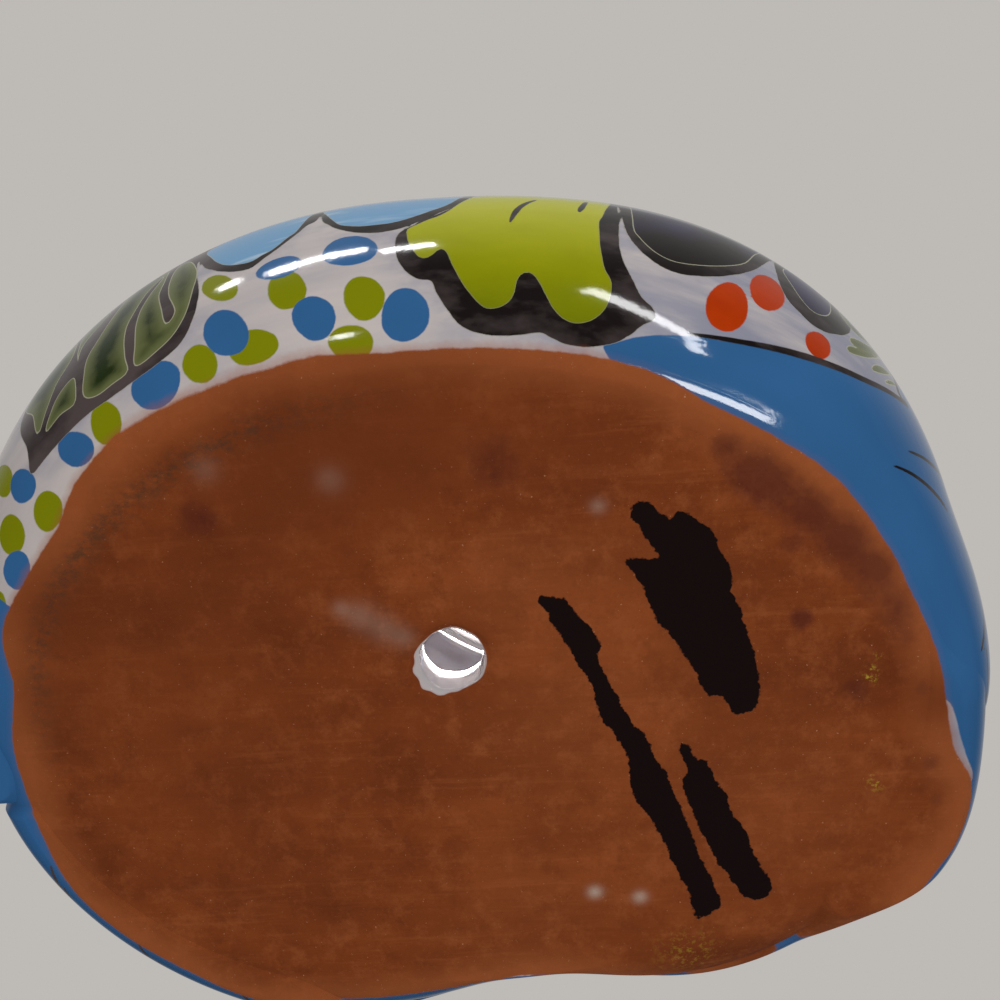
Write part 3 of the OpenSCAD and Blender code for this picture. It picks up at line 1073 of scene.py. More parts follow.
    def __init__(self) -> None:
        """Works out every mark once, on both flanks."""
        self.dark: list[Outline] = []
        self.leaf: list[Outline] = []
        self.blue: list[Outline] = []
        self.lime: list[Outline] = []
        self.plum: list[Outline] = []
        self.dabs: tuple[list[Outline], list[Outline], list[Outline]] = ([], [], [])
        self.lime_dots: list[Dots] = []
        self.blue_dots: list[Dots] = []
        self.orange_dots: list[Dots] = []
        self.ink: list[Stroke] = []
        for mirrored in (False, True):
            self.paint_flank(Painting(mirrored))
        plain = Painting()
        self.coat = [plain.outline(self.FOOT_COAT, self.FOOT_COAT_HIDDEN)] + [
            self.limb_outline(limb) for limb in POT.limbs if not isinstance(limb, HindLeg)
        ]
        self.coat += [plain.outline((), hidden) for hidden in self.LOW_COATS]
        self.bare_glaze = plain.outline(self.BARE_GLAZE)
        self.ink.append(plain.stroke(2.0, self.FOOT_LINE, self.FOOT_LINE_HIDDEN, fullest=0.25))
        self.ink += [plain.stroke(1.35, seen, fullest=0.7) for seen in self.FUR_SEEN]
        self.ink += [plain.stroke(1.5, seen, fullest=0.3) for seen in self.LIME_STROKES]
        self.ink += [plain.stroke(1.3, hidden=line, fullest=0.6) for line in self.FUR_HIDDEN]
        self.ink += [plain.stroke(1.1, hidden=line) for line in self.LEG_FUR + self.TOE_STROKES]
        self.ink += self.tail_fur()
        self.paint_crest(plain)

    def paint_flank(self, brush: Painting) -> None:
        """Paints one flank's flowers, leaves and dots.

        Args:
            brush: Places the marks on the left flank or mirrors them to the right.
        """
        for group, marks in (
            (self.dark, self.DARK_MARKS), (self.leaf, self.LEAF_MARKS), (self.blue, self.BLUE_MARKS),
            (self.lime, self.LIME_MARKS), (self.plum, self.PLUM_MARKS),
        ):
            group += [brush.outline(seen, hidden) for seen, hidden in marks]
        for dabs, seen in zip(self.dabs, (self.LIME_DABS, self.BLUE_DABS, self.ORANGE_DABS)):
            dabs += [brush.dab(*mark) for mark in seen]
        if not brush.mirrored:
            self.leaf += [brush.outline(seen) for seen in self.RUMP_LEAVES]
        for flower, fills, turns in (
            (self.BLUE_FLOWER, self.blue, (10, 62, 118, 170)),
            (self.PLUM_FLOWER, self.plum, (5, 60, 120, 175)),
        ):
            self.dark += [brush.petal(flower, turn, 5.0, 27.0, 19.0) for turn in turns]
            fills += [brush.petal(flower, turn, 7.0, 25.2, 15.4) for turn in turns]
            self.dark.append(brush.petal(flower, 0.0, -7.0, 7.0, 14.0))
            self.orange_dots.append(brush.round_dots([flower], 5.4))

    def limb_outline(self, limb: Limb) -> Outline:
        """Outline of a limb's footprint on the skin.

        Args:
            limb: The limb.

        Returns:
            The outline.
        """
        t = np.linspace(0.0, 1.0, 60, endpoint=False)
        one, zero = np.ones_like(t), np.zeros_like(t)
        u = np.concatenate([t, one, 1.0 - t, zero])
        v = np.concatenate([zero, t, one, 1.0 - t])
        a, m = limb.spot(u, v)
        return Outline(vectors(a, m), POT.skin(a, m))

    @staticmethod
    def tail_fur() -> list[Stroke]:
        """Pairs of short fur strokes along the tail."""
        tail = next(limb for limb in POT.limbs if isinstance(limb, Tail))
        strokes = []
        for u in np.linspace(0.18, 0.9, 9):
            for shift, low, high in ((0.0, 0.78, 0.42), (0.022, 0.7, 0.3)):
                along = np.array([u + shift, u + shift + 0.012, u + shift + 0.03])
                a, m = tail.spot(along, np.linspace(low, high, 3))
                points = POT.skin(*smooth_line(vectors(a, m), closed=False).T)
                normal = unit(points[:-1] * np.array([1.0, 1.0, 0.0]))
                strokes.append(Stroke(points, normal, 1.2, 0.6))
        return strokes

    def paint_crest(self, brush: Painting) -> None:
        """A border of lime and blue dots round the shoulder, below the rim."""
        turn = np.linspace(0.0, 360.0, self.CREST_DOTS, endpoint=False)
        for group, shift, height in ((self.lime_dots, 0, 112.5), (self.blue_dots, 1, 110.5)):
            group.append(brush.round_dots([(float(a), height) for a in turn[shift::2]], 3.2))

    def fields(self, a: Array, m: Array) -> dict[Field, Array]:
        """Painted distances at places on the pot's skin.

        Args:
            a: Azimuths in radians.
            m: Places up the section.

        Returns:
            A vector of three distances to a place, for each layer.
        """
        points = POT.skin(a, m)
        canvas = Canvas(vectors(a, m), points, 2.0 * math.pi)
        groups = (self.lime_dots, self.blue_dots, self.orange_dots)
        dots = [
            np.minimum(dot_distance(points, group), nearest_outline(dabs, canvas))
            for group, dabs in zip(groups, self.dabs)
        ]
        far = np.full(len(points), FAR)
        fills = [nearest_outline(group, canvas) for group in (self.blue, self.lime, self.plum)]
        motif = [nearest_outline(self.dark, canvas), nearest_outline(self.leaf, canvas), far]
        coat = np.maximum(nearest_outline(self.coat, canvas), -self.bare_glaze.distance(canvas))
        kept_off = np.where(np.cos(a) < -0.1, -coat, -FAR)[:, None]
        return {
            Field.DOTS: np.maximum(np.stack(dots, axis=-1), kept_off),
            Field.MOTIF: np.maximum(np.stack(motif, axis=-1), kept_off),
            Field.FILLS: np.maximum(np.stack(fills, axis=-1), kept_off),
            Field.COAT: vectors(coat, far, far),
            Field.INK: stroke_field(self.ink, canvas),
        }


class BasePainting:
    """What shows on the bare base: the glaze's edge, marker ink, stains and grime, from the photograph."""

    GLAZE_EDGE = (
        (24.4, -99.5), (38.8, -89.7), (47.6, -82.3), (58.8, -75.4), (70.7, -61.1), (76.9, -45.1),
        (80.9, -27.3), (81.2, -7.6), (80.9, 11.6), (78.1, 31.9), (73.4, 46.4), (66.8, 57.0),
        (59.0, 69.9), (49.0, 83.0), (34.9, 93.3), (23.7, 98.9), (5.8, 106.3), (-16.5, 110.5),
        (-27.8, 115.8), (-39.2, 115.1), (-51.7, 108.0), (-67.5, 98.5), (-88.0, 80.0), (-95.0, 66.0),
        (-88.0, 43.0), (-77.0, 15.0), (-81.6, -9.9), (-84.5, -36.9), (-81.6, -58.2), (-72.1, -73.0),
        (-59.6, -88.4), (-44.8, -98.2), (-25.2, -102.7), (-5.9, -103.7), (10.7, -100.0),
    )
    INK_BARS = (
        ((636, 502), (648, 503), (668, 519), (678, 512), (691, 515), (709, 529), (723, 554), (733, 583),
         (730, 590), (742, 609), (742, 622), (752, 644), (759, 676), (757, 703), (744, 713), (732, 713),
         (720, 695), (706, 693), (694, 670), (680, 648), (662, 626), (649, 606), (643, 586), (626, 565),
         (628, 559), (658, 557), (648, 542), (636, 522), (630, 512)),
        ((539, 599), (550, 596), (564, 600), (574, 612), (588, 625), (600, 644), (597, 657), (610, 682),
         (622, 705), (632, 722), (645, 734), (656, 757), (671, 783), (685, 818), (700, 859), (721, 900),
         (707, 916), (694, 914), (688, 891), (671, 859), (662, 838), (648, 815), (632, 789), (629, 760),
         (616, 737), (603, 722), (597, 705), (590, 682), (572, 655), (558, 632), (546, 613)),
        ((679, 747), (688, 743), (697, 758), (706, 760), (717, 782), (729, 795), (728, 804), (743, 828),
         (755, 856), (770, 880), (766, 899), (744, 896), (735, 885), (712, 853), (694, 815), (683, 783),
         (687, 772)),
    )
    STAINS = (
        (750, 470, 26, 0.75), (775, 490, 26, 0.7), (812, 515, 26, 0.6), (842, 540, 28, 0.7),
        (872, 570, 26, 0.7), (895, 605, 24, 0.5), (905, 640, 20, 0.3), (725, 445, 18, 0.45),
        (790, 545, 14, 0.35), (801, 618, 11, 0.9), (856, 690, 16, 0.55), (925, 688, 14, 0.4),
        (492, 465, 34, 0.45), (196, 518, 20, 0.5), (930, 760, 14, 0.4), (935, 800, 10, 0.4),
        (205, 560, 90, 0.1), (120, 660, 90, 0.1),
    )
    TONES = (
        (500, 560, 80, 0.16), (760, 820, 130, 0.12), (640, 620, 90, 0.1), (560, 720, 110, 0.12),
        (520, 900, 90, 0.1), (300, 470, 110, -0.3), (430, 440, 90, -0.28), (560, 440, 70, -0.2),
        (170, 620, 120, -0.22), (230, 820, 130, -0.14), (52, 610, 45, -0.3), (48, 700, 45, -0.26),
        (940, 700, 36, -0.34),
    )
    CHALK = (
        (360, 617, 15, 0.24), (384, 629, 15, 0.22), (404, 638, 12, 0.2), (341, 609, 9, 0.2),
        (595, 892, 7, 0.8), (640, 897, 7, 0.7), (330, 480, 14, 0.16), (598, 506, 8, 0.3),
        (205, 470, 14, 0.12),
    )
    LIME_SPECKS = (
        (870, 678, 5, 1.0), (878, 655, 3, 0.9), (873, 670, 4, 0.9), (876, 783, 8, 0.55),
        (690, 955, 26, 0.3),
    )
    ROOT_CLIMB = ((138.0, 34.0, 8.0), (148.0, 9.0, 7.0))
    GLAZE_RISE = 2.4
    INK_RISE = 3.0
    SEAM_DIRT = (-52.0, 40.0, -0.5, 3.2)

    def __init__(self) -> None:
        """Places the marks on the resting plane."""
        edge = smooth_line(np.array(self.GLAZE_EDGE), closed=True, per_span=8)
        self.glaze_edge = Outline(edge, np.column_stack([edge, np.zeros(len(edge))]), reach=60.0)
        self.ink = [self.flat_outline(bar) for bar in self.INK_BARS]

    @staticmethod
    def flat_outline(pixels: Sequence[Pixel]) -> Outline:
        """A closed outline on the resting plane, through pixels."""
        flat = smooth_line(VIEW.on_base(pixels), closed=True, per_span=4)
        return Outline(flat, np.column_stack([flat, np.zeros(len(flat))]))

    @staticmethod
    def soft_patches(x: Array, y: Array, marks: Sequence[tuple[float, float, float, float]]) -> Array:
        """Sum of soft round patches, each strength times exp(-(distance / size)^2).

        Args:
            x: Places across the cat.
            y: Places along the cat.
            marks: Pixel x and y, size in pixels and strength.

        Returns:
            Strength at each place.
        """
        rows = np.array(marks, float)
        middle = VIEW.on_base([tuple(p) for p in rows[:, :2]])
        beside = VIEW.on_base([(p[0] + s, p[1]) for p, s in zip(rows[:, :2], rows[:, 2])])
        size = np.linalg.norm(beside - middle, axis=1)
        gap = (x[:, None] - middle[:, 0]) ** 2 + (y[:, None] - middle[:, 1]) ** 2
        return np.clip((rows[:, 3] * np.exp(-gap / size**2)).sum(1), -1.0, 1.0)

    def glaze_edges(self, points: Array) -> Array:
        """Distances past the glaze's edge, negative on bare clay.

        Args:
            points: Points in millimetres.

        Returns:
            The distance in plan kept near the ground, and in plan alone.
        """
        flat = points * np.array([1.0, 1.0, 0.0])
        plan = self.glaze_edge.distance(Canvas(flat[:, :2], flat))
        turn = np.degrees(np.arctan2(points[:, 1], points[:, 0])) % 360.0
        climbs = (rise * np.exp(-(((turn - at) / wide) ** 4)) for at, wide, rise in self.ROOT_CLIMB)
        limit = self.GLAZE_RISE + sum(climbs)
        return vectors(np.maximum(plan, points[:, 2] - limit), plan)

    def fields(self, points: Array) -> dict[Field, Array]:
        """Marks on the base at points of a piece.

        Args:
            points: Points in millimetres.

        Returns:
            Ink, stains and tones, then chalk, lime specks and seam dirt.
        """
        flat = points * np.array([1.0, 1.0, 0.0])
        canvas = Canvas(flat[:, :2], flat)
        x, y = points[:, 0], points[:, 1]
        a = np.arctan2(y, x)
        seam = np.hypot(x, y) - POT.slab_r(a)
        middle, spread, seat, width = self.SEAM_DIRT
        dirt = swell(seam, seat, width) * np.exp(-((turn_from(a, middle) / spread) ** 4))
        under = points[:, 2] < self.INK_RISE
        base = [
            np.where(under, nearest_outline(self.ink, canvas), FAR),
            self.soft_patches(x, y, self.STAINS),
            self.soft_patches(x, y, self.TONES),
        ]
        grime = [self.soft_patches(x, y, self.CHALK), self.soft_patches(x, y, self.LIME_SPECKS), dirt]
        return {Field.BASE: np.stack(base, axis=-1), Field.GRIME: np.stack(grime, axis=-1)}


def blank_fields(count: int, coat: float) -> dict[Field, Array]:
    """Unpainted layers for a piece off the pot's skin.

    Args:
        count: Number of vertices.
        coat: Distance into the blue coat, negative inside it.

    Returns:
        Layers with no marks.
    """
    painted = (Field.DOTS, Field.MOTIF, Field.FILLS, Field.COAT, Field.INK)
    fields = {kind: np.full((count, 3), FAR) for kind in painted}
    fields[Field.COAT][:, 0] = coat
    fields[Field.INK][:, 1] = -1.0
    return fields | {kind: np.zeros((count, 3)) for kind in (Field.BASE, Field.GRIME)}


def ring_faces(rows: int, columns: int, closed: bool = True) -> Array:
    """Quads between rings of vertices that are numbered ring by ring.

    Args:
        rows: Number of rings.
        columns: Vertices to a ring.
        closed: Joins the last ring to the first.

    Returns:
        Four vertex numbers to a quad.
    """
    i = np.arange(rows if closed else rows - 1)[:, None] * columns
    j = np.arange(columns)[None, :]
    i2, j2 = (i + columns) % (rows * columns), (j + 1) % columns
    return vectors(i + j, i + j2, i2 + j2, i2 + j).reshape(-1, 4)


def fan_faces(ring: Array, tip: int) -> Array:
    """Triangles from a ring of vertices to a tip, with -1 in place of a fourth vertex."""
    return vectors(np.full_like(ring, tip), ring, np.roll(ring, -1), np.full_like(ring, -1))


def capped(rings: Array, tips: Sequence[Array] = ()) -> tuple[Array, Array]:
    """A surface of rings that is shut at both ends with a fan.

    Args:
        rings: Points by ring and by place round it.
        tips: The fans' tips, which are the middles of the end rings where none are given.

    Returns:
        Points in the rows with the tips last, and the vertex numbers of each face.
    """
    rows, columns = rings.shape[:2]
    body, ring = rings.reshape(-1, 3), np.arange(columns)
    ends = np.stack(tips or (rings[0].mean(0), rings[-1].mean(0)))
    first = fan_faces(ring, len(body))
    last = fan_faces(ring[::-1] + len(body) - columns, len(body) + 1)
    return np.concatenate([body, ends]), np.concatenate([ring_faces(rows, columns, False), first, last])


@dataclass
class Shell:
    """A closed surface: points and faces, with the painted layers on its vertices."""

    name: str
    points: Array
    faces: Array
    fields: dict[Field, Array]

    def build(self, material: bpy.types.Material, node: str, slot: Slot) -> None:
        """Makes the piece in place of a CAD node, with its faces outward and its layers as attributes.

        Args:
            material: The finish.
            node: The node that it stands for.
            slot: The record's slot; not used.
        """
        faces = self.faces
        sides = np.where(faces[:, 3] < 0, 3, 4)
        p = self.points
        volume = np.einsum("ij,ij->i", p[faces[:, 0]], np.cross(p[faces[:, 1]], p[faces[:, 2]])).sum()
        fourth = faces[sides == 4]
        volume += np.einsum("ij,ij->i", p[fourth[:, 0]], np.cross(p[fourth[:, 2]], p[fourth[:, 3]])).sum()
        order = np.arange(4)[None, :].repeat(len(faces), 0)
        if volume < 0:
            order = np.where((sides == 4)[:, None], np.array([[0, 3, 2, 1]]), np.array([[0, 2, 1, 3]]))
        turned = np.take_along_axis(faces, order, axis=1)
        loops = turned[np.arange(4)[None, :] < sides[:, None]]
        mesh = bpy.data.meshes.new(self.name)
        mesh.vertices.add(len(p))
        mesh.vertices.foreach_set("co", (p * MM).astype(np.float32).ravel())
        mesh.loops.add(len(loops))
        mesh.loops.foreach_set("vertex_index", loops.astype(np.int32))
        mesh.polygons.add(len(faces))
        starts = np.concatenate([[0], np.cumsum(sides)[:-1]]).astype(np.int32)
        mesh.polygons.foreach_set("loop_start", starts)
        mesh.polygons.foreach_set("loop_total", sides.astype(np.int32))
        mesh.polygons.foreach_set("use_smooth", np.ones(len(faces), bool))
        mesh.update(calc_edges=True)
        mesh.validate()
        for kind, values in self.fields.items():
            layer = mesh.attributes.new(kind.value, "FLOAT_VECTOR", "POINT")
            layer.data.foreach_set("vector", values.astype(np.float32).ravel())
        mesh.materials.append(material)
        piece = bpy.data.objects.new(self.name, mesh)
        bpy.context.scene.collection.objects.link(piece)
        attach(piece, "root")
        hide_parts(node)
        LOG.info("%s stands for %s: %d faces", piece.name, node, len(mesh.polygons))


Term: TypeAlias = "Signal | float"


@dataclass(frozen=True)
class Signal:
    """A socket's output, with arithmetic that adds Math nodes."""

    graph: "Graph"
    socket: bpy.types.NodeSocket

    def math(self, operation: str, first: Term, second: Term) -> "Signal":
        """One Math node of two inputs."""
        return self.graph.node("ShaderNodeMath", {"operation": operation}, {0: first, 1: second})

    def __add__(self, other: Term) -> "Signal":
        """Sum."""
        return self.math("ADD", self, other)

    def __radd__(self, other: float) -> "Signal":
        """Reflected sum."""
        return self.math("ADD", other, self)

    def __sub__(self, other: Term) -> "Signal":
        """Difference."""
        return self.math("SUBTRACT", self, other)

    def __rsub__(self, other: float) -> "Signal":
        """Reflected difference."""
        return self.math("SUBTRACT", other, self)

    def __mul__(self, other: Term) -> "Signal":
        """Product."""
        return self.math("MULTIPLY", self, other)

    def __rmul__(self, other: float) -> "Signal":
        """Reflected product."""
        return self.math("MULTIPLY", other, self)

    def __truediv__(self, other: Term) -> "Signal":
        """Quotient."""
        return self.math("DIVIDE", self, other)

    def __rtruediv__(self, other: float) -> "Signal":
        """Reflected quotient."""
        return self.math("DIVIDE", other, self)

    def __abs__(self) -> "Signal":
        """Size without sign."""
        return self.math("ABSOLUTE", self, 0.0)

    def lower(self, other: Term) -> "Signal":
        """The smaller of two."""
        return self.math("MINIMUM", self, other)

    def higher(self, other: Term) -> "Signal":
        """The larger of two."""
        return self.math("MAXIMUM", self, other)

    def clamp(self) -> "Signal":
        """Kept between 0 and 1."""
        return self.graph.node("ShaderNodeClamp", {}, {"Value": self})

    def inside(self, soft: float) -> "Signal":
        """1 where a distance is negative and 0 where positive, over a soft edge in millimetres."""
        return (0.5 - self / soft).clamp()

    def over(self, low: float, high: float) -> "Signal":
        """Rises from 0 to 1 as the value goes from low to high."""
        return ((self - low) / (high - low)).clamp()


class Graph:
    """The node tree of a material or of the surround."""

    NOISE_SHIFT = (0.731, 0.417, 0.533)

    def __init__(self, owner: bpy.types.Material | bpy.types.World) -> None:
        """Starts an empty tree for its owner."""
        owner.use_nodes = True
        self.owner, self.tree = owner, owner.node_tree
        self.tree.nodes.clear()

    @cached_property
    def place(self) -> "Signal":
        """Object coordinates."""
        return self.node("ShaderNodeTexCoord", {}, {}, "Object")

    @cached_property
    def grain(self) -> "Signal":
        """Where noise is read, unless it is stretched."""
        return self.stretched(1.0, 1.0, 1.0)

    def node(self, kind: str, settings: dict, inputs: dict, output: int | str = 0) -> Signal:
        """Adds a node.

        Args:
            kind: Blender's node type.
            settings: Properties that are set first.
            inputs: Values or signals by socket number or name.
            output: The socket that is handed back.

        Returns:
            The node's output.
        """
        made = self.tree.nodes.new(kind)
        for key, value in settings.items():
            setattr(made, key, value)
        for key, value in inputs.items():
            if isinstance(value, Signal):
                self.tree.links.new(value.socket, made.inputs[key])
            else:
                made.inputs[key].default_value = value
        return Signal(self, made.outputs[output])

    def layer(self, kind: Field) -> tuple[Signal, Signal, Signal]:
        """The three parts of a painted layer."""
        vector = self.node("ShaderNodeAttribute", {"attribute_name": kind.value}, {}, "Vector")
        split = self.node("ShaderNodeSeparateXYZ", {}, {0: vector})
        return tuple(Signal(self, socket) for socket in split.socket.node.outputs)

    def along(self, axis: int) -> Signal:
        """Object coordinate along an axis, in metres."""
        return self.node("ShaderNodeSeparateXYZ", {}, {0: self.place}, axis)

    def stretched(self, x: float, y: float, z: float) -> Signal:
        """Object coordinates scaled by axis and moved off the origin, where a noise's octaves line up."""
        inputs = {"Vector": self.place, "Scale": (x, y, z), "Location": self.NOISE_SHIFT}
        return self.node("ShaderNodeMapping", {}, inputs)

    def noise(
        self, scale: float, detail: float = 3.0, rough: float = 0.55, where: Signal | None = None
    ) -> Signal:
        """Noise from 0 to 1 about a half."""
        inputs = {"Vector": where or self.grain, "Scale": scale, "Detail": detail, "Roughness": rough}
        return self.node("ShaderNodeTexNoise", {}, inputs)

    def mix(self, factor: Signal | float, below: Signal | tuple, above: Signal | tuple) -> Signal:
        """Colour above over colour below, by a factor."""
        return self.node("ShaderNodeMix", {"data_type": "RGBA"}, {0: factor, 6: below, 7: above}, 2)

    def shaders(self, factor: Signal, below: Signal, above: Signal) -> Signal:
        """Shader above over shader below, by a factor."""
        return self.node("ShaderNodeMixShader", {}, {0: factor, 1: below, 2: above})

    def finish(self, kind: str, shader: Signal) -> bpy.types.Material | bpy.types.World:
        """Joins a shader to an output node, and hands back the tree's owner."""
        self.tree.links.new(shader.socket, self.tree.nodes.new(kind).inputs["Surface"])
        return self.owner


@dataclass(frozen=True)
class Earthenware:
    """Red earthenware with hand painting under a clear gloss glaze, bare below the glaze's edge."""

    ground: tuple = linear(190, 181, 178)
    wash: tuple = linear(126, 129, 148)
    blue: tuple = linear(50, 98, 148)
    blue_deep: tuple = linear(45, 90, 136)
    blue_pale: tuple = linear(104, 150, 188)
    # Pale streak colour of the blue petals: partly brush streaks, partly a painted highlight.
    streak: tuple = linear(196, 208, 216)
    # The lime fill is the darker lime low down and the paler lime higher up: a painted light gradient,
    # lighter towards the top.
    lime: tuple = linear(112, 119, 6)
    lime_lit: tuple = linear(172, 173, 14)
    lime_dot: tuple = linear(122, 127, 7)
    orange: tuple = linear(176, 56, 6)
    orange_deep: tuple = linear(162, 48, 5)
    black: tuple = linear(25, 20, 19)
    # Paler black, mixed in along brush streaks and more of it towards the cat's front.
    black_paler: tuple = linear(78, 68, 68)
    leaf_dark: tuple = linear(32, 44, 16)
    # Paler leaf green, used near the leaf's edges and in noise patches: a painted reflection.
    leaf_reflection_pale: tuple = linear(98, 103, 64)
    plum: tuple = linear(38, 31, 74)
    pale_line: tuple = linear(176, 174, 150)
    clay: tuple = linear(136, 68, 31)
    clay_dark: tuple = linear(102, 47, 21)
    clay_light: tuple = linear(152, 84, 46)
    clay_speck: tuple = linear(182, 132, 100)
    stain: tuple = linear(64, 24, 25)
    marker: tuple = linear(24, 13, 13)
    chalk: tuple = linear(170, 148, 134)
    lime_speck: tuple = linear(176, 156, 50)
    dirt: tuple = linear(70, 50, 36)
    glaze_roughness: float = 0.07
    glaze_ior: float = 1.5
    clay_roughness: float = 0.85
    clay_shine: float = 0.05
    clay_drop: float = 0.35
    brush_edge: float = 0.3
    # Heights over which the lime fill turns paler: painted light, as if lit from above.
    lime_lit_heights: tuple[float, float] = (0.006, 0.040)

    def build(self, name: str, painted: bool) -> bpy.types.Material:
        """Makes the material.

        Args:
            name: The material's name.
            painted: Reads the painted layers, and is plain white glaze without them.

        Returns:
            The material.
        """
        g = Graph(bpy.data.materials.new(name))
        waver = (g.noise(260.0, 2.0) - 0.5) * 0.5
        fine = (g.noise(1500.0, 2.0) - 0.5) * 0.16
        edge = waver + fine
        coat, glaze, plan = g.layer(Field.COAT)
        colour = self.paint(g, edge, coat) if painted else self.white(g)
        bare = (glaze + edge * 1.4).inside(0.4)
        clay, clay_bump = self.bare_clay(g, plan)
        thin = (glaze + edge * 3.0).over(1.7, 0.0) * (0.1 + 0.34 * coat.over(-0.6, 0.6))
        colour = g.mix(thin, colour, self.clay_light)
        orange_peel = g.noise(420.0, 2.0, 0.5)
        height = orange_peel * 0.05 * (1.0 - bare) + clay_bump * bare - bare * self.clay_drop
        bump = g.node("ShaderNodeBump", {}, {"Strength": 0.35, "Distance": 0.001, "Height": height})
        gloss = g.node(
            "ShaderNodeBsdfPrincipled", {},
            {"Base Color": colour, "Roughness": self.glaze_roughness, "IOR": self.glaze_ior, "Normal": bump},
        )
        matte = g.node(
            "ShaderNodeBsdfPrincipled", {},
            {
                "Base Color": clay, "Roughness": self.clay_roughness,
                "Specular IOR Level": self.clay_shine, "Normal": bump,
            },
        )
        return g.finish("ShaderNodeOutputMaterial", g.shaders(bare, gloss, matte))

    def white(self, g: Graph) -> Signal:
        """White glaze with thin bluish washes of brushed slip, more of them towards the rump."""
        rear = g.along(1).over(0.03, 0.06)
        streak = g.noise(46.0, 4.0, 0.6, g.stretched(0.5, 0.5, 2.6))
        return g.mix((streak + rear * 0.16).over(0.38, 0.72) * (0.35 + 0.52 * rear), self.ground, self.wash)

    def paint(self, g: Graph, edge: Signal, coat: Signal) -> Signal:
        """Painted layers from the ground up.

        Args:
            g: The material's graph.
            edge: Unevenness of brushed edges in millimetres.
            coat: Distance into the blue coat.

        Returns:
            The colour under the glaze.
        """
        lime_dot, blue_dot, orange_dot = g.layer(Field.DOTS)
        dark, leaf, _ = g.layer(Field.MOTIF)
        blue_fill, lime_fill, plum_fill = g.layer(Field.FILLS)
        across, half, gap = g.layer(Field.INK)
        brush = g.noise(55.0, 4.0, 0.6, g.stretched(1.0, 1.0, 2.2))
        mottle = g.noise(24.0, 3.0, 0.5)
        blue = g.mix(mottle.over(0.3, 0.7), self.blue, self.blue_deep)
        # Lime fill paler with height: painted light, with the upper part coloured as if lit from above.
        height = g.along(2) + (brush - 0.5) * 0.012
        lime = g.mix(height.over(*self.lime_lit_heights), self.lime, self.lime_lit)
        orange = g.mix(brush.over(0.3, 0.7), self.orange, self.orange_deep)
        # Black paint paler in brush streaks and more so towards the cat's front.
        front = g.along(1).over(-0.03, -0.07)
        black = g.mix((brush + front * 0.24).over(0.45, 0.8), self.black, self.black_paler)
        # Leaf green is dark deep inside and paler near its edges and in noise patches; the paler parts are a
        # painted reflection.
        shade = g.noise(90.0, 3.0, 0.6)
        green = g.mix((leaf * (shade * 2.4 - 0.2)).over(-0.5, -4.0), self.leaf_reflection_pale, self.leaf_dark)
        # Pale streaks on the blue petals near their edges: partly brush streaks, partly a painted highlight
        # on the glaze.
        streaks_and_sheen = g.noise(90.0, 3.0, 0.6, g.stretched(0.4, 0.4, 3.0)).over(0.55, 0.7)
        petal = g.mix(streaks_and_sheen * (blue_fill + 5.0).over(0.0, 4.0) * 0.5, self.blue_pale, self.streak)
        plum = g.mix(mottle.over(0.4, 0.6), self.plum, self.black)
        colour = g.mix(dark.over(7.0, 0.5) * brush.over(0.42, 0.62) * 0.5, self.white(g), self.wash)
        for mark, tint in ((lime_dot, self.lime_dot), (blue_dot, blue), (orange_dot, orange), (coat, blue)):
            colour = g.mix((mark + edge).inside(self.brush_edge), colour, tint)
        shown = (coat + 4.0).over(-0.4, 0.4)
        for mark, uneven, soft, tint in (
            (dark, 0.8, 0.3, black), (leaf, 0.4, 0.25, green), (blue_fill, 0.5, 0.3, petal),
            (lime_fill, 0.5, 0.3, lime), (plum_fill, 0.5, 0.3, plum),
        ):
            colour = g.mix((mark + edge * uneven).inside(soft) * shown, colour, tint)
        rims = abs(leaf + edge * 0.3).lower(abs(plum_fill + edge * 0.3))
        rims = rims.lower(abs(blue_fill + edge * 0.3) + 0.06)
        rims = rims.lower(abs(dark + edge * 0.8) + 0.1).lower(abs(lime_fill + edge * 0.5) + 0.1)
        colour = g.mix((rims - 0.13).inside(0.14) * shown * 0.7, colour, self.pale_line)
        line = (abs(across) - half + edge * 0.3).inside(0.25) * (gap - half - 0.7).inside(0.5)
        return g.mix(line, colour, black)

    def bare_clay(self, g: Graph, plan: Signal) -> tuple[Signal, Signal]:
        """Fired clay with wipe marks and grain, under the base's ink, stains, chalk, specks and seam dirt.

        Args:
            g: The material's graph.
            plan: Distance past the glaze's edge in plan.

        Returns:
            The colour and the bump's height.
        """
        wipes = g.noise(70.0, 4.0, 0.6, g.stretched(1.0, 0.22, 1.0))
        clouds = g.noise(28.0, 5.0, 0.65)
        grain = g.noise(900.0, 4.0, 0.7)
        colour = g.mix((wipes * 0.45 + clouds * 0.55).over(0.36, 0.66), self.clay_dark, self.clay)
        scratch = g.noise(380.0, 4.0, 0.7, g.stretched(1.0, 0.07, 1.0))
        for mark, low, high, amount, tint in (
            (scratch, 0.56, 0.72, 0.3, self.clay_light), (scratch, 0.44, 0.3, 0.35, self.clay_dark),
            (g.noise(160.0, 5.0, 0.7), 0.5, 0.72, 0.5, self.clay_light),
            (g.noise(110.0, 5.0, 0.7), 0.48, 0.34, 0.6, self.clay_dark),
            (grain, 0.58, 0.76, 0.36, self.clay_light), (grain, 0.44, 0.28, 0.38, self.clay_dark),
            (plan + (clouds - 0.5) * 7.0, -11.0, -3.0, 0.65, self.clay_light),
            (g.noise(1300.0, 2.0, 0.6), 0.70, 0.76, 0.7, self.clay_speck),
        ):
            colour = g.mix(mark.over(low, high) * amount, colour, tint)
        ink, stain, tone = g.layer(Field.BASE)
        chalk, lime_speck, dirt = g.layer(Field.GRIME)
        colour = g.mix(tone.over(0.0, 0.5) * 0.8, colour, self.clay_light)
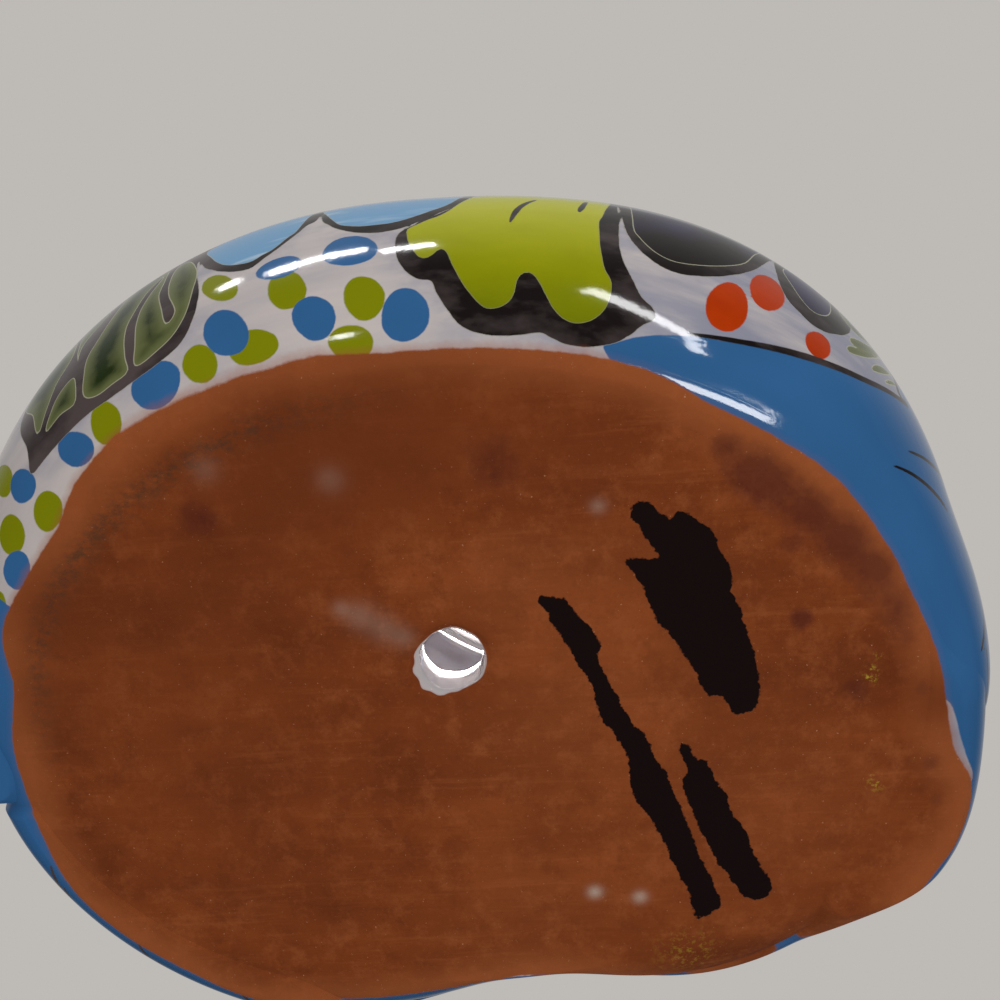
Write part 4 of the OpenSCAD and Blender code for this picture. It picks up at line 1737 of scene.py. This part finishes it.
        colour = g.mix(tone.over(0.0, -0.42) * 0.9, colour, self.clay_dark)
        blotch = g.noise(120.0, 4.0, 0.65)
        patchy = (stain * 1.2 + (blotch - 0.5) * 1.1).over(0.12, 0.75) * stain.over(0.04, 0.3)
        colour = g.mix(patchy * 0.58, colour, self.stain)
        crumbs = g.noise(520.0, 6.0, 0.8, g.stretched(1.0, 0.6, 1.0))
        colour = g.mix((dirt * crumbs.over(0.42, 0.62)).clamp() * 0.7, colour, self.dirt)
        colour = g.mix((chalk * (0.5 + wipes)).clamp(), colour, self.chalk)
        speckle = g.noise(700.0, 3.0, 0.7).over(0.52, 0.6)
        colour = g.mix(lime_speck * speckle, colour, self.lime_speck)
        ragged = (g.noise(240.0, 3.0, 0.75) - 0.5) * 3.0
        colour = g.mix((ink + ragged).inside(0.3), colour, self.marker)
        return colour, grain * 0.22 + wipes * 0.3


@dataclass(frozen=True)
class Dressing:
    """The finishes and the painting that the pieces share."""

    painted: bpy.types.Material
    bare: bpy.types.Material
    flank: FlankPainting
    base: BasePainting

    def skin_fields(self, points: Array, a: Array, m: Array, coat: float) -> dict[Field, Array]:
        """Painted layers of a piece whose first points lie on the pot's skin.

        Args:
            points: The piece's points.
            a: Azimuths of those on the skin.
            m: Their places up the section.
            coat: Distance into the blue coat for the rest.

        Returns:
            The painted layers.
        """
        fields = blank_fields(len(points), coat)
        for kind, values in self.flank.fields(a.ravel(), m.ravel()).items():
            fields[kind][: a.size] = values
        fields[Field.COAT][: a.size, 1:] = self.base.glaze_edges(points[: a.size])
        return fields | self.base.fields(points)


@dataclass
class PotBody:
    """The hollow wall with its foot ring, skin, rolled top edge and glazed inside."""

    dressing: Dressing
    columns: int = 540
    foot_rows: int = 7
    low_rows: int = 74
    high_rows: int = 58
    inside_rows: int = 24
    seam_dip: float = 0.06
    seam_gap: float = 0.35
    seam_height: float = 2.0

    def azimuths(self) -> Array:
        """Azimuths of the columns, closer together on the left flank."""
        fine = np.radians(np.linspace(-90.0, 270.0, 2000))
        begun = blend((fine + math.radians(88)) / 0.1)
        weight = 1.0 + 0.7 * begun * (1.0 - blend((fine - math.radians(96)) / 0.2))
        total = np.concatenate([[0.0], np.cumsum((weight[1:] + weight[:-1]) / 2.0)])
        return np.interp(np.linspace(0.0, total[-1], self.columns, endpoint=False), total, fine)

    def build(self) -> None:
        """Makes the wall: foot ring, skin, top edge, inside, ledge and seam, carried round the pot."""
        a = self.azimuths()
        foot_m = np.concatenate([[-1.0], np.linspace(-0.95, 0.0, self.foot_rows, endpoint=False)])
        low_m = np.linspace(0.0, 1.0, self.low_rows, endpoint=False) ** 1.15
        high_m = np.linspace(1.0, 2.0, self.high_rows)
        m = np.concatenate([foot_m, low_m, high_m])
        grid_a, grid_m = np.meshgrid(a, m)
        skin = POT.skin(grid_a, grid_m)
        skin[:2, :, 2] += self.seam_dip
        inside_m = np.linspace(2.0, 0.0, self.inside_rows)
        inside_a, inside_grid = np.meshgrid(a, inside_m)
        inner_r, inner_z = POT.inner(inside_a, inside_grid)
        seam_r = np.tile(POT.slab_r(a) + self.seam_gap, (2, 1))
        seam_z = np.broadcast_to([[POT.floor_level], [self.seam_height]], seam_r.shape)
        r, z = np.concatenate([inner_r, seam_r]), np.concatenate([inner_z, seam_z])
        inside = around(r, a, z)
        points = np.concatenate([skin, inside]).reshape(-1, 3)
        faces = ring_faces(len(points) // self.columns, self.columns)
        fields = self.dressing.skin_fields(points, grid_a, grid_m, FAR)
        Shell("painted_body", points, faces, fields).build(self.dressing.painted, "body_wall", Slot.WHITE)


@dataclass
class LimbPiece:
    """One limb's relief, whose edge runs out under the pot's skin."""

    dressing: Dressing
    limb: Limb
    along: int
    up: int
    skirt: float = 0.06
    skirt_depth: float = 0.9
    back_depth: float = 2.0
    back_lowest: float = 0.6

    def build(self) -> None:
        """Makes the limb as a closed tube: the relief in front and a plain back inside the wall."""
        u = np.linspace(-self.skirt, 1.0 + self.skirt, self.along)
        v = np.linspace(-self.skirt, 1.0 + self.skirt, self.up)
        grid_u, grid_v = np.meshgrid(u, v, indexing="ij")
        a, m = self.limb.spot(grid_u, grid_v)
        out = np.maximum(np.abs(grid_u - 0.5), np.abs(grid_v - 0.5)) - 0.5
        relief = self.limb.relief(np.clip(grid_u, 0, 1), np.clip(grid_v, 0, 1))
        front = POT.skin(a, m, np.where(out > 0, -self.skirt_depth * (out / self.skirt) ** 2, relief))
        back = POT.skin(a[:, ::-1], m[:, ::-1], -self.back_depth)
        back[..., 2] = np.maximum(back[..., 2], self.back_lowest)
        points, faces = capped(np.concatenate([front, back], axis=1))
        tube_a, tube_m = (np.concatenate([g, g[:, ::-1]], axis=1) for g in (a, m))
        fields = self.dressing.skin_fields(points, tube_a, np.clip(tube_m, 0.0, 2.0), -1.0)
        Shell(self.limb.name, points, faces, fields).build(self.dressing.painted, self.limb.node, Slot.BLUE)


@dataclass
class ClayFloor:
    """The floor slab: bare underneath, glazed above and in the drain hole."""

    dressing: Dressing
    hole_middle: tuple[float, float] = (11.0, 0.0)
    hole_r: float = 7.5
    thickness: float = 9.0
    columns: int = 480
    under_rows: int = 96
    top_rows: int = 24
    wall_rows: int = 8
    lip: float = 0.9
    lip_share: float = 0.03
    wall_swell: float = 0.4
    lap: float = 0.5
    edge_fall: float = 5.0
    spill_way: float = math.radians(236.0)

    def build(self) -> None:
        """Makes the slab as a closed profile carried round the drain hole.

        Each column runs from the hole's lip to the edge under the slab, up the edge, back over
        the top and down the hole's wall.
        """
        t = circle(self.columns)
        reach = self.edge_reach(t)
        waver = 0.16 * np.sin(2.0 * t + 0.9) + 0.1 * np.sin(5.0 * t + 2.0) + 0.06 * np.sin(9.0 * t)
        hole = self.hole_r + waver
        share = np.concatenate([[0.0], np.linspace(0.004, 0.999, self.under_rows), [0.9996, 1.0]])
        under_r = hole + (reach + self.lap - hole) * share[:, None]
        under_z = self.lip * (1.0 - blend(share / self.lip_share))
        top_r = hole + (reach - 0.1 - hole) * np.linspace(1.0, 0.0, self.top_rows)[:, None]
        top_z = np.full(self.top_rows, self.thickness - 0.05)
        wall_z = np.linspace(self.thickness - 0.8, self.lip + 0.4, self.wall_rows)
        wall_r = hole - self.wall_swell * np.sin((wall_z[:, None] - self.lip) / self.thickness * math.pi)
        r = np.concatenate([under_r, top_r, wall_r])
        z = np.broadcast_to(np.concatenate([under_z, top_z, wall_z])[:, None], r.shape)
        x, y = self.hole_middle[0] + r * np.cos(t), self.hole_middle[1] + r * np.sin(t)
        points = vectors(x, y, z).reshape(-1, 3)
        edges = self.dressing.base.glaze_edges(points)
        spill = np.clip(np.cos(t - self.spill_way), 0.0, 1.0) ** 3
        shade = 0.3 + 1.7 * spill + 0.15 * np.sin(4.0 * t) + 0.3 * spill * np.sin(13.0 * t)
        past = edges[: under_r.size, 0].reshape(under_r.shape)
        glaze = np.full(r.shape, FAR)
        glaze[: len(under_r)] = np.maximum((shade - (under_r - hole)) * self.edge_fall, past)
        fields = blank_fields(len(points), FAR)
        fields[Field.COAT][:, 1:] = vectors(glaze.ravel(), edges[:, 1])
        fields |= self.dressing.base.fields(points)
        faces = ring_faces(len(r), self.columns)
        Shell("clay_floor", points, faces, fields).build(self.dressing.bare, "base_slab", Slot.CLAY)

    def edge_reach(self, t: Array) -> Array:
        """Distance from the hole's middle to the slab's edge, found by repeated steps.

        Args:
            t: Directions in radians.

        Returns:
            Distances in millimetres.
        """
        reach = np.full_like(t, 80.0)
        for _ in range(60):
            x = self.hole_middle[0] + reach * np.cos(t)
            y = self.hole_middle[1] + reach * np.sin(t)
            reach = reach + 0.8 * (POT.slab_r(np.arctan2(y, x)) - np.hypot(x, y))
        return reach


@dataclass
class RolledRim:
    """The rolled rim round the planting mouth, blue outside with a dark band at its foot, white inside."""

    dressing: Dressing
    height: float = 14.0
    width: float = 11.0
    columns: int = 320
    lining: float = 0.62
    sink: float = 1.2
    sway: float = 0.25
    band_height: float = 2.6
    band_half: float = 0.8
    outer_share: float = 0.45
    inner_share: float = 0.7

    PROFILE = (
        (1.0, 0.0), (0.97, 0.16), (0.94, 0.42), (1.01, 0.66), (1.0, 0.86), (0.8, 0.97), (0.45, 1.0),
        (0.16, 0.95), (0.02, 0.8), (-0.04, 0.5), (-0.05, 0.1), (0.03, -0.2),
    )

    def build(self) -> None:
        """Makes the rim: a rolled profile, smoothed and carried round the mouth."""
        a = circle(self.columns)
        line = smooth_line(np.array(self.PROFILE), closed=False, per_span=6)
        mouth = POT.mouth_r(a)
        r = mouth + self.width * line[:, :1]
        foot = POT.shoulder_z(np.broadcast_to(a, r.shape), np.maximum(r, mouth)) - self.sink
        top = POT.mouth_height + self.height
        z = foot + (top - foot) * line[:, 1:]
        z = z + self.sway * np.sin(5.0 * a + 0.6) * line[:, 1:]
        points = around(r, a, z).reshape(-1, 3)
        fields = blank_fields(len(points), -2.0)
        along = np.arange(len(line)) / len(line)
        lining = np.where(along > self.inner_share, (self.lining - line[:, 1]) * self.height, -2.0)
        fields[Field.COAT][:, 0] = np.repeat(lining, self.columns)
        band = np.abs(z - foot - self.band_height) - self.band_half
        fields[Field.MOTIF][:, 0] = np.where((along < self.outer_share)[:, None], band, FAR).ravel()
        faces = ring_faces(len(line), self.columns)
        Shell("rolled_rim", points, faces, fields).build(self.dressing.painted, "planting_rim", Slot.BLUE)


@dataclass
class CatHead:
    """The head with its painted face, the muzzle pad and both ears."""

    dressing: Dressing
    middle: tuple[float, float, float] = (0.0, -103.0, 126.0)
    half: tuple[float, float, float] = (52.0, 44.0, 43.0)
    rows: int = 150
    columns: int = 260
    seat_depth: float = 3.0
    eye_place: tuple[float, float] = (20.0, 136.0)
    eye_half: tuple[float, float] = (11.5, 7.4)
    eye_tilt: float = 14.0
    muzzle_way: tuple[float, float, float] = (0.0, -0.93, -0.36)
    muzzle_half: tuple[float, float] = (24.0, 16.0)
    muzzle_relief: float = 9.6
    muzzle_level: float = 110.5
    muzzle_rows: tuple[int, int] = (44, 12)
    muzzle_columns: int = 132
    muzzle_sink: float = 2.5
    ear_half: tuple[float, float] = (21.0, 11.0)
    ear_height: float = 38.0
    ear_rows: int = 60
    ear_columns: int = 120
    ear_dish: float = 9.0

    FEATURES = (
        ((0.62, -0.66, -0.42), 2.2, 0.30), ((-0.62, -0.66, -0.42), 2.2, 0.30),
        ((0.0, -0.97, 0.16), 1.6, 0.2), ((0.44, -0.87, 0.24), -1.8, 0.20),
        ((-0.44, -0.87, 0.24), -1.8, 0.20), ((0.0, -0.6, 0.8), 1.0, 0.4),
    )
    BROW = ((8, 12), (17, 17), (28, 17))
    CHEEK_DOTS = ((38.0, 126.0), (43.0, 121.0))
    WHISKER_DOTS = ((8.0, 2.5), (12.5, 4.0), (12.0, -0.5))
    NOSE = ((-5.4, 11.0), (0.0, 12.2), (5.4, 11.0), (2.6, 6.4), (0.0, 4.6), (-2.6, 6.4))

    def reach(self, w: Array) -> Array:
        """Distance from the head's middle to its skin along unit directions.

        It is an ellipsoid with full cheeks, a low bridge over the nose and shallow eye hollows,
        each a bell over the angle from its own direction.

        Args:
            w: Unit directions along the last axis.

        Returns:
            Distances in millimetres.
        """
        plain = 1.0 / np.linalg.norm(w / np.array(self.half), axis=-1)
        for way, amount, width in self.FEATURES:
            near = (1.0 - w @ unit(np.array(way))) / (width * width / 2.0)
            plain = plain + amount * np.exp(-near)
        return plain

    def surface(self, w: Array, lift: Array | float = 0.0) -> Array:
        """Points of the head's skin along directions, lifted off it."""
        return np.array(self.middle) + w * (self.reach(w) + lift)[..., None]

    def build(self) -> None:
        """Makes the head, the muzzle and the ears."""
        self.build_head()
        self.build_muzzle()
        self.build_ear(1.0, "ear_left", "left_ear")
        self.build_ear(-1.0, "ear_right", "right_ear")

    def build_head(self) -> None:
        """Makes the head as rings about its upright axis, seated on the shoulder below."""
        polar = np.linspace(0.02, math.pi - 0.02, self.rows)
        round_ = circle(self.columns)
        p, q = np.meshgrid(polar, round_, indexing="ij")
        w = vectors(np.sin(p) * np.cos(q), np.sin(p) * np.sin(q), np.cos(p))
        points = self.surface(w)
        a, r = np.arctan2(points[..., 1], points[..., 0]), np.hypot(points[..., 0], points[..., 1])
        seat = np.where(r < POT.belly_r(a), POT.shoulder_z(a, r) - self.seat_depth, -FAR)
        points[..., 2] = np.maximum(points[..., 2], seat)
        points, faces = capped(points)
        head = Shell("painted_head", points, faces, self.face_fields(points))
        head.build(self.dressing.painted, "head", Slot.BLUE)

    def face_fields(self, points: Array) -> dict[Field, Array]:
        """The painted face: almond eyes with slit pupils, brow strokes, whiskers and cheek dots.

        Marks are drawn on the upright plane across the face and kept to its front.

        Args:
            points: Points of the head.

        Returns:
            The painted layers.
        """
        fields = blank_fields(len(points), -2.0)
        front = points[:, 1] < self.middle[1] - 2.0
        canvas = self.face_canvas(points)
        t = circle(48)
        dark, iris, ink = [], [], []
        for side in (1.0, -1.0):
            for scale, group in ((1.0, dark), (0.78, iris)):
                x = self.eye_half[0] * scale * np.cos(t)
                z = self.eye_half[1] * scale * np.sin(t) * np.abs(np.sin(t)) ** 0.2
                tilt = math.radians(self.eye_tilt)
                ex = side * (self.eye_place[0] + x * math.cos(tilt) - z * math.sin(tilt))
                ez = self.eye_place[1] + x * math.sin(tilt) + z * math.cos(tilt)
                group.append(Outline(vectors(ex, ez), self.upright(ex, ez)))
            x0, z0 = self.eye_place
            for places, width in (([(x0, 6), (x0, 0), (x0, -6)], 4.6), (self.BROW, 1.8)):
                ink.append(self.face_stroke([(side * x, z0 + z) for x, z in places], width))
            for k, (dz, tip) in enumerate(((2.0, 6.0), (-2.5, -1.0), (-7.0, -8.0))):
                start, stop = (side * 24.0, 110.0 + dz), (side * (45.0 - k), 110.0 + tip)
                middle = (side * 35.0, 110.0 + (dz + tip) / 2.0 + 1.2)
                ink.append(self.face_stroke([start, middle, stop], 1.1))
        for x, low, high in ((0.0, 150.0, 163.0), (7.0, 151.5, 162.0), (-7.0, 151.5, 162.0)):
            ink.append(self.face_stroke([(x, low), (x * 1.15, (low + high) / 2), (x * 1.4, high)], 2.4))
        cheeks = [(side * x, 0.0, z) for x, z in self.CHEEK_DOTS for side in (1, -1)]
        orange = dot_distance(canvas.points, [(cheeks, 2.4)])
        fields[Field.DOTS][:, 2] = np.where(front, orange, FAR)
        fields[Field.MOTIF][:, 0] = np.where(front, nearest_outline(dark, canvas), FAR)
        fields[Field.FILLS][:, 1] = np.where(front, nearest_outline(iris, canvas), FAR)
        fields[Field.INK] = np.where(front[:, None], stroke_field(ink, canvas), (FAR, -1.0, FAR))
        return fields

    @staticmethod
    def upright(x: Array, z: Array) -> Array:
        """Points of the upright plane across the face."""
        return vectors(x, np.zeros_like(x), z)

    def face_canvas(self, points: Array) -> Canvas:
        """Points carried straight back to that plane."""
        return Canvas(points[:, [0, 2]], self.upright(points[:, 0], points[:, 2]))

    def face_stroke(self, knots: Sequence[tuple[float, float]], width: float) -> Stroke:
        """A stroke on that plane."""
        line = smooth_line(np.array(knots, float), closed=False)
        normal = np.broadcast_to(np.array([0.0, -1.0, 0.0]), (len(line) - 1, 3))
        return Stroke(self.upright(*line.T), normal, width)

    def patch(
        self, way: Sequence[float], across: Sequence[float], half: tuple[float, float], s: Array, t: Array
    ) -> Array:
        """Directions of an oval patch on the head about a direction.

        Args:
            way: The patch's middle.
            across: Its first axis.
            half: Its half sizes in millimetres.
            s: Share of the half sizes.
            t: Angle round the patch.

        Returns:
            Unit directions.
        """
        w0 = unit(np.array(way, float))
        e1 = np.array(across, float)
        e1 = unit(e1 - (e1 @ w0) * w0)
        e2 = np.cross(w0, e1)
        spread = s[..., None] * (half[0] * np.cos(t)[..., None] * e1 + half[1] * np.sin(t)[..., None] * e2)
        return unit(w0 * self.half[2] + spread)

    def build_muzzle(self) -> None:
        """Makes the muzzle: a two-lobed dome on the face with a nose, closed inside the head."""
        fore, aft = self.muzzle_rows
        s = np.concatenate([np.linspace(0.02, 1.0, fore), np.linspace(1.06, 0.02, aft)])
        t = circle(self.muzzle_columns)
        grid_s, grid_t = np.meshgrid(s, t, indexing="ij")
        w = self.patch(self.muzzle_way, (1.0, 0.0, 0.0), self.muzzle_half, grid_s, grid_t)
        x = grid_s * np.cos(grid_t) * self.muzzle_half[0]
        base = self.surface(w)
        y = base[..., 2] - self.muzzle_level
        arch = np.clip(1.0 - grid_s**2, 0.0, 1.0) ** 0.5
        cleft = 1.0 - 0.3 * swell(x, 0.0, 3.2) * (1.0 - blend((y - 1.0) / 5.0))
        lobes = 0.86 + 0.14 * (swell(x, 9.5, 8.0) + swell(x, -9.5, 8.0))
        nose = 2.4 * swell(x, 0.0, 5.2) * swell(y, 8.0, 4.0)
        lift = self.muzzle_relief * arch * cleft * lobes + nose * arch
        front = (np.arange(len(s)) < fore)[:, None]
        lift = np.where(front, lift - 0.5 * grid_s**12, -self.muzzle_sink)
        points, faces = capped(self.surface(w, lift))
        muzzle = Shell("face_muzzle", points, faces, self.muzzle_fields(points))
        muzzle.build(self.dressing.painted, "muzzle", Slot.WHITE)

    def muzzle_fields(self, points: Array) -> dict[Field, Array]:
        """The painted muzzle: a nose, a mouth line to each side and whisker dots.

        Args:
            points: Points of the muzzle.

        Returns:
            The painted layers.
        """
        fields = blank_fields(len(points), FAR)
        canvas = self.face_canvas(points)
        level = self.muzzle_level
        nose = smooth_line(np.array(self.NOSE) + np.array([0.0, level]), closed=True)
        spots = [(side * x, 0.0, level + z) for side in (1, -1) for x, z in self.WHISKER_DOTS]
        fields[Field.MOTIF][:, 0] = np.minimum(
            Outline(nose, self.upright(*nose.T)).distance(canvas), dot_distance(canvas.points, [(spots, 0.9)])
        )
        ink = [self.face_stroke([(0.0, level + 5.0), (0.0, level + 1.0), (0.0, level - 3.0)], 1.5)]
        for side in (1.0, -1.0):
            mouth = [(0.0, level - 3.0), (side * 5.0, level - 6.4), (side * 11.5, level - 4.0)]
            ink.append(self.face_stroke(mouth, 1.7))
        fields[Field.INK] = stroke_field(ink, canvas)
        return fields

    def build_ear(self, side: float, name: str, node: str) -> None:
        """Makes an ear: rings that narrow to a tip, dished in front.

        Args:
            side: 1 for the left ear and -1 for the right.
            name: The piece's name.
            node: The node that it stands for.
        """
        way, across = (side * 0.62, 0.02, 0.78), (0.78, 0.0, -side * 0.62)
        t = circle(self.ear_columns)
        root = self.surface(self.patch(way, across, self.ear_half, np.ones_like(t), t), -2.0)
        middle = root.mean(0)
        tip = middle + (self.ear_height + 1.0) * unit(np.array([side * 0.36, 0.05, 0.93]))
        k = np.linspace(0.0, 1.0, self.ear_rows)[:-1, None]
        shrink = (1.0 - k**1.3) ** 0.86
        spread = root - middle
        rings = middle + (tip - middle) * k[..., None] + spread * shrink[..., None]
        fore = np.clip(-spread[:, 1] / self.ear_half[1], 0.0, 1.0)
        inside = np.clip(1.0 - (np.cos(t) / 0.86) ** 2, 0.0, 1.0)
        arch = np.sin(np.clip(k / 0.94, 0, 1) * math.pi) ** 0.6
        rings[..., 1] += self.ear_dish * (fore * inside)[None] * arch * shrink
        points, faces = capped(rings, (middle, tip))
        fields = blank_fields(len(points), -2.0)
        patch = (np.sqrt((np.cos(t)[None] / 0.74) ** 2 + ((k - 0.36) / 0.42) ** 2) - 1.0) * 12.0
        for kind, part, inset in ((Field.MOTIF, 0, 0.0), (Field.FILLS, 1, 2.2)):
            fields[kind][:-2, part] = np.where((fore > 0.0)[None], patch + inset, FAR).ravel()
        Shell(name, points, faces, fields).build(self.dressing.painted, node, Slot.BLUE)


@dataclass(frozen=True)
class SoftLamp:
    """A rectangular soft lamp between the middles of its two short sides, in metres and watts."""

    name: str
    first: tuple[float, float, float]
    last: tuple[float, float, float]
    width: float
    watts: float
    aim: tuple[float, float, float] = (0.09, 0.02, 0.015)
    mirrored: bool = True
    spread: float = 180.0

    def build(self) -> None:
        """Makes the lamp, which shows in glaze only where it is mirrored."""
        first, last = np.array(self.first), np.array(self.last)
        place = (first + last) / 2.0
        data = bpy.data.lights.new(self.name, "AREA")
        data.shape, data.size, data.size_y = "RECTANGLE", float(np.linalg.norm(last - first)), self.width
        data.energy, data.spread = self.watts, math.radians(self.spread)
        lamp = bpy.data.objects.new(self.name, data)
        lamp.visible_glossy = self.mirrored
        lamp.visible_camera = False
        ahead = unit(np.array(self.aim) - place)
        side = last - first
        side = unit(side - (side @ ahead) * ahead)
        set_up(lamp, vectors(side, np.cross(side, ahead), -ahead), place)


@dataclass(frozen=True)
class Studio:
    """A pale floor that shows only from above, a pale surround and soft lamps."""

    floor_size: float = 40.0
    floor_colour: tuple = linear(236, 231, 226)
    floor_drop: float = 0.0006
    floor_fade: tuple[float, float] = (0.5, 2.6)
    pale: tuple = linear(190, 186, 182)
    warm: tuple = (1.0, 0.985, 0.965, 1.0)
    surround: float = 0.5
    mirrored: tuple[float, float] = (0.02, 0.46)
    overhead: tuple[float, float] = (0.25, 0.98)
    pot: tuple[float, float, float] = (0.0, 0.0, 0.0)
    mouth: tuple[float, float, float] = (0.0, 0.03, 0.0)
    lamps: tuple[SoftLamp, ...] = (
        SoftLamp("window_left", (0.86, -0.46, 0.51), (0.925, -0.235, 0.545), 0.05, 1.0),
        SoftLamp("window_middle", (0.955, -0.20, 0.51), (0.95, -0.08, 0.55), 0.045, 0.5),
        SoftLamp("window_edge", (0.78, -0.55, 0.53), (0.80, -0.51, 0.54), 0.04, 0.15),
        SoftLamp("window_right", (1.03, 0.33, 0.18), (0.91, 0.62, -0.06), 0.06, 1.1),
        SoftLamp("low_right", (0.66, 0.44, -0.69), (0.48, 0.70, -0.67), 0.15, 2.4),
        SoftLamp("low_left", (0.995, -0.345, -0.28), (1.005, -0.295, -0.28), 0.06, 0.2),
        SoftLamp("pale_ceiling", (0.0, -1.3, 1.3), (0.0, 1.3, 1.3), 2.6, 9.0, pot, False),
        SoftLamp("soft_low", (0.5, -0.6, -1.0), (0.5, 0.4, -1.0), 1.0, 3.0, pot, False),
        SoftLamp("mouth_light", (0.0, 0.0, 0.62), (0.0, 0.06, 0.62), 0.06, 7.5, mouth, False, 9.0),
    )

    def build(self) -> None:
        """Makes the floor, the surround and the lamps."""
        self.build_floor()
        self.build_surround()
        for lamp in self.lamps:
            lamp.build()

    def build_floor(self) -> None:
        """Makes the floor: opaque from above and clear from below, casting no shade itself."""
        half, z = self.floor_size / 2.0, -self.floor_drop
        mesh = bpy.data.meshes.new("floor")
        corners = [(-half, -half, z), (half, -half, z), (half, half, z), (-half, half, z)]
        mesh.from_pydata(corners, [], [(0, 1, 2, 3)])
        g = Graph(bpy.data.materials.new("pale_floor"))
        back = g.node("ShaderNodeNewGeometry", {}, {}, "Backfacing")
        plain = g.node("ShaderNodeBsdfDiffuse", {}, {"Color": self.floor_colour})
        clear = g.node("ShaderNodeBsdfTransparent", {}, {})
        away = g.node("ShaderNodeVectorMath", {"operation": "LENGTH"}, {0: g.place}, "Value")
        far = away.over(*self.floor_fade)
        mesh.materials.append(g.finish("ShaderNodeOutputMaterial", g.shaders(back.higher(far), plain, clear)))
        floor = bpy.data.objects.new("floor", mesh)
        bpy.context.scene.collection.objects.link(floor)
        floor.visible_shadow = floor.visible_diffuse = False
        floor.visible_glossy = floor.visible_transmission = False

    def build_surround(self) -> None:
        """Makes the surround: pale to the camera, dimmer as light, and paler overhead in reflections."""
        g = Graph(bpy.data.worlds.new("pale_surround"))
        way = g.node("ShaderNodeTexCoord", {}, {}, "Generated")
        limits = dict(enumerate((*self.overhead, *self.mirrored), start=1))
        limits[0] = g.node("ShaderNodeSeparateXYZ", {}, {0: way}, 2)
        glow = g.node("ShaderNodeMapRange", {"interpolation_type": "SMOOTHSTEP"}, limits)
        shown = g.node("ShaderNodeBackground", {}, {"Color": self.warm, "Strength": self.surround})
        for ray, tint, strength in (("Is Glossy Ray", self.warm, glow), ("Is Camera Ray", self.pale, 1.0)):
            above = g.node("ShaderNodeBackground", {}, {"Color": tint, "Strength": strength})
            shown = g.shaders(g.node("ShaderNodeLightPath", {}, {}, ray), shown, above)
        bpy.context.scene.world = g.finish("ShaderNodeOutputWorld", shown)


def main() -> None:
    """Builds the camera, the pieces and the studio."""
    logging.basicConfig(level=logging.INFO, format="%(message)s")
    bpy.context.scene.view_settings.view_transform = "Standard"
    VIEW.build()
    earthenware = Earthenware()
    painted, bare = earthenware.build("painted_glaze", True), earthenware.build("bare_base", False)
    dressing = Dressing(painted, bare, FlankPainting(), BasePainting())
    PotBody(dressing).build()
    for limb in POT.limbs:
        long = isinstance(limb, Tail)
        LimbPiece(dressing, limb, 300 if long else 120, 56 if long else 84).build()
    ClayFloor(dressing).build()
    RolledRim(dressing).build()
    CatHead(dressing).build()
    Studio().build()


if __name__ == "__main__":
    main()
